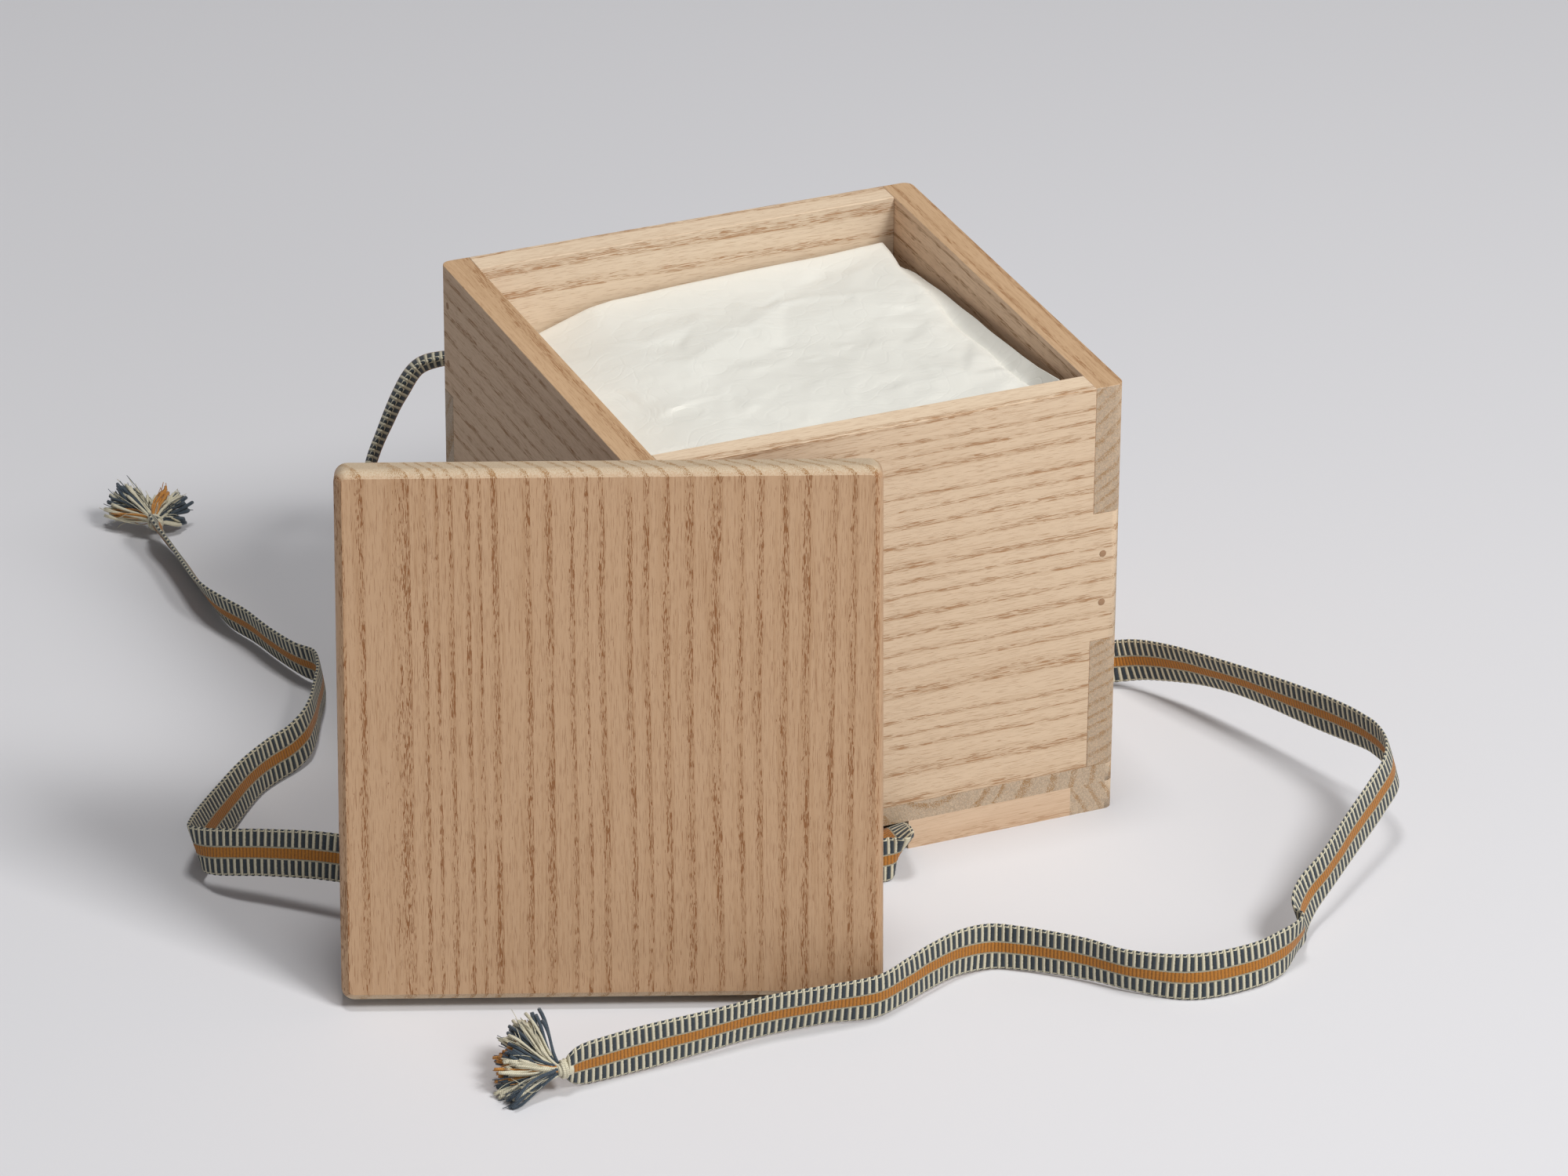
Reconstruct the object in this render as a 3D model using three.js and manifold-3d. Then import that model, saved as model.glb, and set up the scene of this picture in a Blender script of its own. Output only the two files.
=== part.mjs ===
// Storage box of pale paulownia wood, its lid leaning on one corner, paper packed inside and a
// woven ribbon that runs crosswise under the box between its feet. Millimetres, +Z up.
// Everything is modelled about the middle of the box and moved as one at the end, so that the
// origin lies on the floor below the middle of box and leaning lid together.
import * as THREE from 'three';
import { mergeVertices } from 'three/addons/utils/BufferGeometryUtils.js';
import Module from 'manifold-3d';

const wasm = await Module();
wasm.setup();

// Box: four finger-jointed walls on a bottom board, standing on low feet
const boxSide = 150;
const wallThickness = 9;
const wallHeight = 121.7;
const bottomThickness = 5.8;
const footHeight = 9.1;
const footWidth = 14;
const slotWidth = 19.5;
const cornerRadius = 3;
const lowerFingerShare = 0.338;
const upperFingerShare = 0.672;

// Wooden pegs that pin the fingers, two to a finger, each in a hole with a little room
const pegRadius = 1.05;
const pegLength = 20;
const pegInset = 5.7;
const pegRoom = 0.3;
const frontPegShares = [0.297, 0.68];
const sidePegShares = [0.24, 0.707];

// Lid: one board with an eased edge round its face and two battens across its back
const lidSide = boxSide;
const lidThickness = 12;
const lidCornerRadius = 3.6;
const easeWidth = 2.2;
const easeDepth = 4;
const easeShares = [[0, 0], [0.16, 0.42], [0.5, 0.75], [1, 1]];
const battenThickness = 12;
const battenWidth = 14;
const battenRoom = 1;
const battenPegInset = 22;
const battenPegsPerSide = 3;
const battenPegLength = 18;
const seatGap = 0.3;

// Where the lid stands: how far the middle of its lower back edge is from the box's nearest
// corner, sideways and forwards as seen from the lid, and its turn about the vertical
const lidSideways = 6.94;
const lidForwards = 46.31;
const lidTurn = THREE.MathUtils.degToRad(21.38);

// Packing paper: a bundle that fills the box loosely and bulges towards the rim
const paperRoom = 1.2;
const paperSink = 20;
const paperCorner = 6;

// Woven ribbon: a flat tube of weave, its ends bound with thread and frayed
const ribbonWidth = 13.6;
const ribbonThickness = 1.4;
const selvageThickness = 0.9;
const shoulderShare = 0.5;
const ribbonStep = 5.8;
const ribbonGap = 0.3;
const bindingLength = 6;
const bindingWidth = 5.6;
const bindingThickness = 4.6;
const tasselLength = 19;
const tasselHeight = 13;
const tasselWidth = 30;
const tasselShares = [[0, 0.3, 0.16], [0.35, 0.62, 0.5], [0.75, 1, 0.92], [1, 0.96, 1]];

// Finish of each material
const finishes = {
  wallWood: { color: 0xd9bd97, roughness: 0.62, metalness: 0 },
  sideWood: { color: 0xcaa27a, roughness: 0.62, metalness: 0 },
  lidWood: { color: 0xc9a27b, roughness: 0.6, metalness: 0 },
  footWood: { color: 0xd6b48c, roughness: 0.65, metalness: 0 },
  peg: { color: 0x9c7048, roughness: 0.7, metalness: 0 },
  ribbon: { color: 0x4c5556, roughness: 0.9, metalness: 0 },
  thread: { color: 0xe2d9bd, roughness: 0.9, metalness: 0 },
  paper: { color: 0xe6e4d8, roughness: 0.8, metalness: 0 },
};

// Places worked out from the sizes above
const half = boxSide / 2;
const inner = half - wallThickness;
const wallBottom = footHeight + bottomThickness;
const rim = wallBottom + wallHeight;
const lowerFinger = wallBottom + lowerFingerShare * wallHeight;
const upperFinger = wallBottom + upperFingerShare * wallHeight;
const arcSteps = 5;
const pegSides = 10;
const quarter = Math.PI / 2;

const model = new THREE.Group();

function add(name, geometry, finish, parent = model) {
  const mesh = new THREE.Mesh(geometry, new THREE.MeshStandardMaterial(finish));
  mesh.name = name;
  parent.add(mesh);
  return mesh;
}

// Solids for cutting and joining, and back to a geometry
function bare(geometry) {
  const copy = geometry.clone();
  copy.deleteAttribute('normal');
  copy.deleteAttribute('uv');
  return mergeVertices(copy);
}

function toSolid(geometry) {
  const merged = bare(geometry);
  return new wasm.Manifold(new wasm.Mesh({
    numProp: 3,
    vertProperties: new Float32Array(merged.attributes.position.array),
    triVerts: new Uint32Array(merged.index.array),
  }));
}

function toGeometry(solid) {
  const mesh = solid.getMesh();
  const geometry = new THREE.BufferGeometry();
  geometry.setAttribute('position', new THREE.BufferAttribute(mesh.vertProperties, 3));
  geometry.setIndex(new THREE.BufferAttribute(mesh.triVerts, 1));
  return geometry;
}

function cut(solid, tools) {
  return tools.reduce((left, tool) => left.subtract(tool), solid);
}

// A rectangle's outline in plan; a corner that lies on a corner of the whole square is rounded
function outlineOf(x0, x1, y0, y1, reach = half, radius = cornerRadius) {
  const corners = [[x0, y0, 2], [x1, y0, 3], [x1, y1, 0], [x0, y1, 1]];
  return corners.flatMap(([x, y, turn]) => {
    if (Math.abs(x) < reach || Math.abs(y) < reach) return [new THREE.Vector2(x, y)];
    const middle = new THREE.Vector2(x - Math.sign(x) * radius, y - Math.sign(y) * radius);
    return Array.from({ length: arcSteps + 1 }, (_, i) => {
      const angle = (turn + i / arcSteps) * quarter;
      return new THREE.Vector2(Math.cos(angle), Math.sin(angle)).multiplyScalar(radius).add(middle);
    });
  });
}

// An outline raised between two heights, exact at both
function raised(outline, z0, z1) {
  const geometry = new THREE.ExtrudeGeometry(new THREE.Shape(outline), { depth: 1, bevelEnabled: false });
  const places = geometry.attributes.position;
  for (let i = 0; i < places.count; i += 1) {
    places.setZ(i, places.getZ(i) > 0 ? z1 : z0);
  }
  return geometry;
}

const block = (x0, x1, y0, y1, z0, z1) => bare(raised(outlineOf(x0, x1, y0, y1), z0, z1));

// A peg's body along X or Y from the outer face inwards, or along Z
function pegBody(axis, start, radius, length) {
  const body = new THREE.CylinderGeometry(radius, radius, length, pegSides);
  body.translate(0, length / 2, 0);
  if (axis === 'x') body.rotateZ(start.x < 0 ? -quarter : quarter);
  if (axis === 'y' && start.y > 0) body.rotateZ(Math.PI);
  if (axis === 'z') body.rotateX(quarter);
  body.translate(start.x, start.y, start.z);
  return body;
}

const pegHole = (axis, start, length = pegLength) => (
  toSolid(pegBody(axis, start, pegRadius + pegRoom, length + pegRoom))
);

// Where the pegs stand: the front and back walls carry the middle finger, the sides the others
const pegLine = half - pegInset;
const fingerRows = {
  front: [[lowerFinger, upperFinger]],
  side: [[wallBottom, lowerFinger], [upperFinger, rim]],
};

function pegPlaces(face) {
  const along = face === 'front' || face === 'back';
  const outward = face === 'front' || face === 'left' ? -half : half;
  const rows = along ? fingerRows.front : fingerRows.side;
  const shares = along ? frontPegShares : sidePegShares;
  const places = [];
  rows.forEach(([low, high]) => shares.forEach((share) => [-pegLine, pegLine].forEach((across) => {
    const z = low + share * (high - low);
    places.push(along ? new THREE.Vector3(across, outward, z) : new THREE.Vector3(outward, across, z));
  })));
  return places;
}

const faces = ['front', 'back', 'left', 'right'];
const axisOf = { front: 'y', back: 'y', left: 'x', right: 'x' };
const holes = faces.flatMap((face) => pegPlaces(face).map((place) => pegHole(axisOf[face], place)));

// A wall is three courses high; its fingers reach the outer corner in its own courses
function wall(face) {
  const along = axisOf[face] === 'y';
  const sign = face === 'front' || face === 'left' ? -1 : 1;
  const near = sign * inner;
  const outer = sign * half;
  const courses = [[wallBottom, lowerFinger], [lowerFinger, upperFinger], [upperFinger, rim]];
  const reach = along ? [inner, half, inner] : [half, inner, half];
  const [a, b] = [Math.min(near, outer), Math.max(near, outer)];
  const pieces = courses.map(([low, high], i) => {
    const far = reach[i];
    return toSolid(along ? block(-far, far, a, b, low, high) : block(a, b, -far, far, low, high));
  });
  const body = pieces.reduce((left, piece) => left.add(piece));
  return toGeometry(cut(body, holes));
}

faces.forEach((face) => {
  const finish = axisOf[face] === 'y' ? finishes.wallWood : finishes.sideWood;
  add(`wall_${face}`, wall(face), finish);
  pegPlaces(face).forEach((place, i) => {
    add(`peg_${face}_${i + 1}`, bare(pegBody(axisOf[face], place, pegRadius, pegLength)), finishes.peg);
  });
});

add('bottom_board', block(-half, half, -half, half, footHeight, wallBottom), finishes.wallWood);

// Feet: the side runners reach the corners, the front and back ones butt between them, and all
// leave a slot in the middle of the side for the ribbon
const slotHalf = slotWidth / 2;
const footInner = half - footWidth;
[['left', -half, -footInner], ['right', footInner, half]].forEach(([name, x0, x1]) => {
  add(`foot_${name}_front`, block(x0, x1, -half, -slotHalf, 0, footHeight), finishes.footWood);
  add(`foot_${name}_back`, block(x0, x1, slotHalf, half, 0, footHeight), finishes.footWood);
});
[['front', -half, -footInner], ['back', footInner, half]].forEach(([name, y0, y1]) => {
  add(`foot_${name}_left`, block(-footInner, -slotHalf, y0, y1, 0, footHeight), finishes.footWood);
  add(`foot_${name}_right`, block(slotHalf, footInner, y0, y1, 0, footHeight), finishes.footWood);
});

// A closed skin over rings of points, with flat ends; the rings turn counter-clockwise when
// looked at against the direction in which they follow each other
function skin(rings) {
  const count = rings[0].length;
  const points = rings.flat();
  const middle = (ring) => ring.reduce((sum, p) => sum.add(p), new THREE.Vector3()).divideScalar(count);
  const triangles = [];
  for (let k = 0; k + 1 < rings.length; k += 1) {
    for (let i = 0; i < count; i += 1) {
      const a = k * count + i;
      const b = k * count + ((i + 1) % count);
      triangles.push(a, b, b + count, a, b + count, a + count);
    }
  }
  const last = (rings.length - 1) * count;
  points.push(middle(rings[0]), middle(rings[rings.length - 1]));
  for (let i = 0; i < count; i += 1) {
    const j = (i + 1) % count;
    triangles.push(j, i, points.length - 2, last + i, last + j, points.length - 1);
  }
  const geometry = new THREE.BufferGeometry().setFromPoints(points);
  geometry.setIndex(triangles);
  return geometry;
}

// Lid, in its own frame: X along its width, Y up its height, Z out of its face
const lid = new THREE.Group();

function lidRing(inset, z) {
  const reach = lidSide / 2 - inset;
  const radius = lidCornerRadius - inset;
  const outline = outlineOf(-reach, reach, -reach, reach, reach, radius);
  return outline.map((p) => new THREE.Vector3(p.x, p.y + lidSide / 2, z));
}

const battenLength = 2 * (inner - battenRoom);
const battenEdge = wallThickness + battenRoom;
const battenBack = -seatGap - battenThickness;
const battenRows = { lower: battenEdge + battenWidth / 2, upper: lidSide - battenEdge - battenWidth / 2 };
const battenPegSpread = battenLength / 2 - battenPegInset;

function battenPegPlaces(y) {
  const places = [];
  for (let i = 0; i < battenPegsPerSide; i += 1) {
    const share = battenPegsPerSide > 1 ? (2 * i) / (battenPegsPerSide - 1) - 1 : 0;
    places.push(new THREE.Vector3(share * battenPegSpread, y, battenBack));
  }
  return places;
}

const battenPegs = Object.values(battenRows).flatMap(battenPegPlaces);
const battenHoles = battenPegs.map((place) => (
  toSolid(pegBody('z', place, pegRadius + pegRoom, battenPegLength + pegRoom))
));
const lidRings = easeShares.map(([inset, up]) => (
  lidRing(inset * easeWidth, lidThickness - easeDepth + up * easeDepth)
));
const lidBoard = cut(toSolid(skin([lidRing(0, 0), ...lidRings])), battenHoles);
add('lid_board', toGeometry(lidBoard), finishes.lidWood, lid);
Object.entries(battenRows).forEach(([name, y]) => {
  const bar = new THREE.BoxGeometry(battenLength, battenWidth, battenThickness);
  bar.translate(0, y, battenBack + battenThickness / 2);
  add(`lid_batten_${name}`, toGeometry(cut(toSolid(bar), battenHoles)), finishes.lidWood, lid);
});
battenPegs.forEach((place, i) => {
  add(`lid_peg_${i + 1}`, bare(pegBody('z', place, pegRadius, battenPegLength)), finishes.peg, lid);
});

// The lid leans until the outer back arris of its upper batten meets the box's nearest corner.
// Where that arris would stand above the rim, the rim meets the batten or the board instead.
const back = new THREE.Vector3(Math.sin(lidTurn), Math.cos(lidTurn), 0);
const across = new THREE.Vector3(Math.cos(lidTurn), -Math.sin(lidTurn), 0);
const lidFoot = new THREE.Vector3(-half, -half, 0);
lidFoot.addScaledVector(across, -lidSideways).addScaledVector(back, -lidForwards);
const cornerTouch = new THREE.Vector3(cornerRadius - half, cornerRadius - half, 0);
cornerTouch.addScaledVector(back, -cornerRadius);
const cornerDistance = cornerTouch.sub(lidFoot).dot(back) - seatGap;
const arrisUp = lidSide - battenEdge;
const arrisOut = battenThickness + seatGap;
const arrisLean = Math.asin(cornerDistance / Math.hypot(arrisUp, arrisOut)) - Math.atan2(arrisOut, arrisUp);
const arrisHeight = arrisUp * Math.cos(arrisLean) - arrisOut * Math.sin(arrisLean);
const rimReach = Math.hypot(cornerDistance, rim);
const battenLow = arrisUp - battenWidth;
const rimOut = rimReach > battenLow ? Math.min(arrisOut, Math.sqrt(rimReach ** 2 - battenLow ** 2)) : 0;
const rimLean = Math.atan2(cornerDistance, rim) - Math.asin(rimOut / rimReach);
const lean = arrisHeight > rim ? rimLean : arrisLean;
const upward = new THREE.Vector3(0, 0, Math.cos(lean)).addScaledVector(back, Math.sin(lean));
const outward = new THREE.Vector3(0, 0, Math.sin(lean)).addScaledVector(back, -Math.cos(lean));
lid.setRotationFromMatrix(new THREE.Matrix4().makeBasis(across, upward, outward));
lid.position.copy(lidFoot);
model.add(lid);

// Packing paper: how far its top lies below the rim, as shares of paperSink, row by row from
// the back wall to the front wall, each row from the left wall to the right wall
const paperSinkShares = [
  [1.18, 0.90, 0.79, 0.70, 0.62],
  [0.99, 0.72, 0.64, 0.60, 0.66],
  [0.95, 0.69, 0.58, 0.55, 0.54],
  [1.00, 0.73, 0.62, 0.52, 0.47],
  [1.20, 0.92, 0.76, 0.56, 0.35],
];

function blend(values, place) {
  const i = Math.min(Math.floor(place), values.length - 2);
  return THREE.MathUtils.lerp(values[i], values[i + 1], place - i);
}

function paperTop(u, v) {
  const rows = paperSinkShares.map((row) => blend(row, u * (row.length - 1)));
  return rim - paperSink * blend(rows, (1 - v) * (rows.length - 1));
}

function paperRing(fill, height) {
  const reach = (inner - paperRoom) * fill;
  const outline = outlineOf(-reach, reach, -reach, reach, reach, paperCorner * fill);
  return outline.map((p) => new THREE.Vector3(p.x, p.y, height(p.x / reach, p.y / reach, fill)));
}

const paperFloor = wallBottom + seatGap;
const paperFillShares = [1, 0.9, 0.75, 0.6, 0.45, 0.3, 0.15];
const paperHeight = (x, y, fill) => paperTop((x * fill + 1) / 2, (y * fill + 1) / 2);
const paperRings = paperFillShares.map((fill) => paperRing(fill, paperHeight));
add('packing_paper', skin([paperRing(1, () => paperFloor), ...paperRings]), finishes.paper);

// Ribbon: each row is a point on its middle line, then how far its upper edge leans along X
// and Y as a part of its width, then its thickness where the woven tube stands open.
// The places are chosen by hand.
const ribbonRoutes = {
  ribbon_front_tail: [
    [2.6, -66.3, 0.9, 1, 0],
    [2.6, -72, 1, 1, 0],
    [2.6, -77.2, 1.5, 1, 0],
    [2.6, -80.2, 4.2, 0.86, -0.02],
    [1.9, -84, 6.4, 0.68, -0.08],
    [0.9, -87.6, 7, 0.56, 0],
    [-1.4, -89.4, 7, 0.34, 0.05],
    [-5.4, -89.8, 7, 0.1, 0.08],
    [-14, -89.6, 7, 0.04, 0.1],
    [-30, -92, 7, 0, 0.05],
    [-50, -94.2, 7, 0, 0.02],
    [-72, -94, 7.2, 0, 0.02],
    [-94.7, -88.8, 9, 0.02, 0.05],
    [-116.2, -78.9, 13, 0.05, 0.14],
    [-135.8, -66.4, 17.5, 0.09, 0.24],
    [-154.3, -47.1, 18, 0.13, 0.31],
    [-169.9, -32, 15.2, 0.12, 0.42],
    [-177.6, -25.1, 13.4, 0.06, 0.47],
    [-182.5, -19.1, 11.6, -0.06, 0.5],
    [-184.2, -12.8, 10, -0.16, 0.48],
    [-181.4, -7.1, 9, -0.24, 0.44],
    [-173.8, 3.6, 7.6, -0.28, 0.4],
    [-165.2, 14.2, 6.9, -0.26, 0.34],
    [-158.2, 21.9, 7, -0.28, 0.2],
    [-151.6, 28, 7.2, -0.24, 0.12],
    [-144.6, 33, 7.3, -0.12, 0.22],
    [-137.9, 36.6, 7.8, -0.1, 0.2],
    [-132, 41.2, 9, -0.13, 0.16],
    [-126.8, 48.8, 9.6, -0.12, 0.07],
    [-122.3, 58.2, 9.4, -0.12, 0.02],
    [-116.8, 70, 8.8, -0.1, 0.04],
    [-114.3, 80.3, 8.2, -0.13, 0.08],
    [-117.3, 87.8, 7.8, -0.19, 0.14],
    [-120.5, 100.6, 7.4, -0.21, 0.2],
    [-123.4, 115.3, 7.3, -0.22, 0.18],
    [-126.6, 125.4, 7.2, -0.24, 0.02],
    [-128.1, 134, 7, -0.24, -0.3],
    [-128.2, 143.1, 6.6, -0.22, -0.62],
    [-127.5, 161.3, 6, -0.18, -0.76],
    [-127.4, 175.5, 6.4, -0.18, -0.74],
    [-127.9, 183.8, 6.9, -0.16, -0.6],
    [-127.3, 190.6, 7.1, -0.1, -0.5],
  ],
  ribbon_rear_tail: [
    [66.3, 2.6, 0.9, 0, 1],
    [72, 2.6, 1, 0, 1],
    [77.6, 2.3, 1.5, 0, 1],
    [84.2, 0.7, 4.2, 0, 0.9],
    [91.6, -1.8, 6.2, -0.03, 0.7],
    [99.5, -4.8, 7.6, -0.05, 0.42],
    [107.8, -9.2, 9, -0.07, 0.15],
    [112.4, -14.6, 11.1, -0.17, 0.1],
    [119.6, -29.3, 15, -0.37, 0.13],
    [124.2, -41.4, 17.3, -0.42, 0.1],
    [128.6, -53.4, 18.9, -0.4, 0.17],
    [136.9, -78.3, 21.2, -0.31, 0.42],
    [140.7, -90.9, 22.4, -0.29, 0.45],
    [143, -100.3, 23.2, -0.27, 0.35],
    [143.8, -108.4, 23.4, -0.19, 0.25],
    [142.6, -117.4, 23.5, -0.27, 0.04],
    [139.2, -124.2, 22.6, -0.42, -0.11],
    [130.4, -132.2, 20.3, -0.41, -0.1],
    [117.4, -143, 17.4, -0.44, -0.12],
    [104, -154.1, 14.1, -0.39, -0.12],
    [93.4, -162, 11.3, -0.43, -0.05],
    [88.6, -167.6, 9.6, -0.47, -0.2],
    [87.2, -171.8, 8, -0.34, -0.5],
    [83.1, -175.8, 7.2, -0.1, -0.22],
    [76.6, -180.2, 7, 0.03, 0.15],
    [66.8, -183.6, 7.1, 0.01, 0.16],
    [48, -182.8, 7, -0.02, 0.14],
    [33.4, -173.8, 7.5, -0.14, -0.01],
    [24.3, -163.2, 7.6, -0.12, 0.11],
    [10.5, -150.6, 7.3, -0.06, 0.12],
    [3.2, -146.2, 7.2, -0.01, 0.12],
    [-6.5, -147, 7.9, 0.09, 0.11],
    [-17.7, -151.4, 8.2, 0.19, 0.17],
    [-27, -155.6, 7.8, 0.22, 0.15],
    [-37.5, -159.6, 7.5, 0.12, 0],
    [-51.3, -158.5, 7.6, 0, -0.17],
    [-70.1, -157.8, 7.7, 0.09, -0.11],
    [-89.6, -159.3, 7.7, 0.15, -0.03],
    [-108, -160.4, 7.5, 0.12, 0.04],
    [-130.4, -161.8, 7.1, -0.04, -0.1],
  ],
  ribbon_corner_loop: [
    [2.6, 66.3, 0.9, -1, 0],
    [2.6, 72, 1, -1, 0],
    [2.6, 77.6, 1.5, -1, 0],
    [1.8, 86, 4.8, -0.99, -0.06],
    [-1.6, 98, 14.6, -0.92, -0.25, 1.6],
    [-8.4, 110.5, 32, -0.78, -0.48, 2],
    [-19, 120, 52.5, -0.62, -0.66, 3],
    [-32, 126.6, 68, -0.48, -0.76, 4.2],
    [-44.9, 130.1, 75.4, -0.38, -0.81, 4.6],
    [-52.5, 132.9, 75.7, -0.35, -0.82, 4.8],
    [-60.3, 134.9, 73.4, -0.35, -0.82, 5],
    [-67.1, 133.5, 65.8, -0.35, -0.82, 4.8],
    [-72.2, 131.6, 58, -0.34, -0.8, 4.2],
    [-78.4, 128.3, 47.9, -0.33, -0.78, 3.4],
    [-84, 121.5, 36.5, -0.33, -0.74, 2.4],
    [-89.4, 111, 25.4, -0.3, -0.62, 1.8],
    [-94, 96, 16.2, -0.24, -0.42],
    [-97, 78, 10.4, -0.16, -0.2],
    [-98.4, 58, 7.8, -0.08, -0.04],
    [-97.6, 38, 7.2, -0.04, 0],
    [-94.4, 20, 7, -0.1, -0.1],
    [-89.6, 9.4, 6.6, -0.2, -0.42],
    [-83.6, 4.3, 4.4, -0.1, -0.84],
    [-77.4, 2.8, 1.5, 0, -1],
    [-72, 2.6, 1, 0, -1],
    [-66.3, 2.6, 0.9, 0, -1],
  ],
  ribbon_under_front: [
    [2.6, -66, 0.9, 1, 0],
    [2.6, -22, 0.9, 1, 0],
    [2.6, 22, 0.9, 1, 0],
    [2.6, 66, 0.9, 1, 0],
  ],
  ribbon_under_side: [
    [-66, 2.6, 0.9, 0, 1],
    [-26, 2.6, 1.1, 0, 1],
    [-12, 2.6, 2.3, 0, 1],
    [-5, 2.6, 2.9, 0, 1],
    [2.6, 2.6, 3, 0, 1],
    [10, 2.6, 2.9, 0, 1],
    [17, 2.6, 2.3, 0, 1],
    [31, 2.6, 1.1, 0, 1],
    [66, 2.6, 0.9, 0, 1],
  ],
};

// A smooth line through the rows, and at each step its middle, its direction and its width
function stations(rows) {
  const points = rows.map(([x, y, z]) => new THREE.Vector3(x, y, z));
  const line = new THREE.CatmullRomCurve3(points, false, 'centripetal');
  const leans = new THREE.CatmullRomCurve3(rows.map(([, , , u, v, thick]) => (
    new THREE.Vector3(u, v, thick ?? ribbonThickness)
  )), false, 'catmullrom');
  const steps = Math.round(line.getLength() / ribbonStep);
  const list = [];
  for (let k = 0; k <= steps; k += 1) {
    const t = line.getUtoTmapping(k / steps);
    const tilt = leans.getPoint(t);
    const level = Math.min(Math.hypot(tilt.x, tilt.y), 1);
    const along = line.getTangent(t);
    const width = new THREE.Vector3(tilt.x, tilt.y, Math.sqrt(1 - level * level));
    width.addScaledVector(along, -width.dot(along)).normalize();
    list.push({ middle: line.getPoint(t), along, width, thick: tilt.z });
  }
  return list;
}

// A flat eight-sided section, thickest in its middle
function section({ middle, along, width, thick }, breadth = ribbonWidth, edge = selvageThickness) {
  const face = new THREE.Vector3().crossVectors(along, width);
  const upper = [[1, edge], [shoulderShare, thick], [-shoulderShare, thick], [-1, edge]];
  const lower = upper.map(([w, t]) => [-w, -t]);
  return [...lower, ...upper].map(([w, t]) => (
    middle.clone().addScaledVector(width, (w * breadth) / 2).addScaledVector(face, t / 2)
  ));
}

const laid = {};
Object.entries(ribbonRoutes).forEach(([name, rows]) => {
  laid[name] = stations(rows);
  add(name, skin(laid[name].map((place) => section(place))), finishes.ribbon);
});

// The bound end and the frayed tassel that follow a tail's last station
function onward(place, distance, drop = 0) {
  const middle = place.middle.clone().addScaledVector(place.along, distance);
  middle.z += drop;
  return { ...place, middle };
}

['front', 'rear'].forEach((name) => {
  const end = laid[`ribbon_${name}_tail`].at(-1);
  const knot = onward(end, ribbonGap + bindingLength);
  const throat = onward(end, ribbonGap + bindingLength / 2);
  add(`binding_${name}`, skin([
    section(onward(end, ribbonGap)),
    section({ ...throat, thick: bindingThickness }, bindingWidth, bindingThickness / 2),
    section({ ...knot, thick: bindingThickness }, bindingWidth, bindingThickness / 2),
  ]), finishes.thread);
  const level = { ...knot, width: new THREE.Vector3(0, 0, 1) };
  level.along = end.along.clone().setZ(0).normalize();
  add(`tassel_${name}`, skin(tasselShares.map(([far, high, wide]) => section(
    { ...onward(level, ribbonGap + far * tasselLength), thick: wide * tasselWidth },
    high * tasselHeight,
    (wide * tasselWidth) / 2,
  ))), finishes.thread);
});

// Move everything so that the origin is on the floor below the middle of the box and its lid
model.updateMatrixWorld(true);
const hard = new THREE.Box3();
model.traverse((item) => {
  if (item.isMesh && !/^(ribbon|binding|tassel)/.test(item.name)) hard.expandByObject(item, true);
});
const centre = hard.getCenter(new THREE.Vector3());
model.position.set(-centre.x, -centre.y, -hard.min.z);

const storageBox = new THREE.Group();
storageBox.add(model);
storageBox.updateMatrixWorld(true);

export default storageBox;
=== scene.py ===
# %% [markdown]
# # A wooden storage box, its lid and its ribbon
# Potters in Japan keep a tea bowl in a square box of paulownia wood. Four walls are joined with
# square fingers and pinned with wooden pegs, eight low feet leave a slot in the middle of each
# side, and a flat woven ribbon passes through the slots and ties over the lid. Here the box is
# open: the lid leans on one corner, paper fills the box and the ribbon lies loose. The model's
# solids are already exact, so this lesson loads them as a fixed frame and dresses them.

# %% Load the model
import math
import random

import bmesh
import bpy
import numpy as np
from mathutils import Matrix, Vector
from mathutils.bvhtree import BVHTree
from mathutils.geometry import delaunay_2d_cdt


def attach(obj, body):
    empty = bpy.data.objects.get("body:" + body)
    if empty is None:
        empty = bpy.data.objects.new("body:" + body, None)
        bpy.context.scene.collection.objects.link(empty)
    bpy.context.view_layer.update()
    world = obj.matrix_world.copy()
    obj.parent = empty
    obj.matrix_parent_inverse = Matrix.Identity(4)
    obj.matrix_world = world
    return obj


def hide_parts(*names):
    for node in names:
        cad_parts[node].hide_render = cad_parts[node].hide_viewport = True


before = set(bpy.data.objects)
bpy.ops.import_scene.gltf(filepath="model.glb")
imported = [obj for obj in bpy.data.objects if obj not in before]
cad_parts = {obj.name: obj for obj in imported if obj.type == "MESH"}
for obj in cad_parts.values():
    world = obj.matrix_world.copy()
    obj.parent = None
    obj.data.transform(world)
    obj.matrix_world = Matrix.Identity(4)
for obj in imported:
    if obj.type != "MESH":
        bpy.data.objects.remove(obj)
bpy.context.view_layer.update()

# %% [markdown]
# Lengths are written in millimetres, as a box maker would, and turned into Blender's metres by
# `mm`. The model's origin lies between box and lid, so `box_middle` is the middle of the box on
# the floor, and everything that belongs to the box is placed from there.

# %% Units, places and sizes
mm = 0.001
box_middle = Vector((47.972, 38.604, 0.0)) * mm
half_side = 75.0
wall_thickness = 9.0
wall_foot = 14.9
wall_top = 136.6
finger_heights = [wall_foot, 56.035, 96.682, wall_top]
corner_radius = 3.0
print("box middle", tuple(round(v, 4) for v in box_middle))

# %% [markdown]
# The camera stands where the photographer's did. Its place and its turn were worked out from the
# edges of the box, which meet at right angles on the real object, and so was the lens: a long
# one, which is why the far edges look almost as long as the near ones.

# %% Camera
def add_object(name, data, place):
    made = bpy.data.objects.new(name, data)
    made.matrix_world = place
    bpy.context.scene.collection.objects.link(made)
    return made


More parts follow.
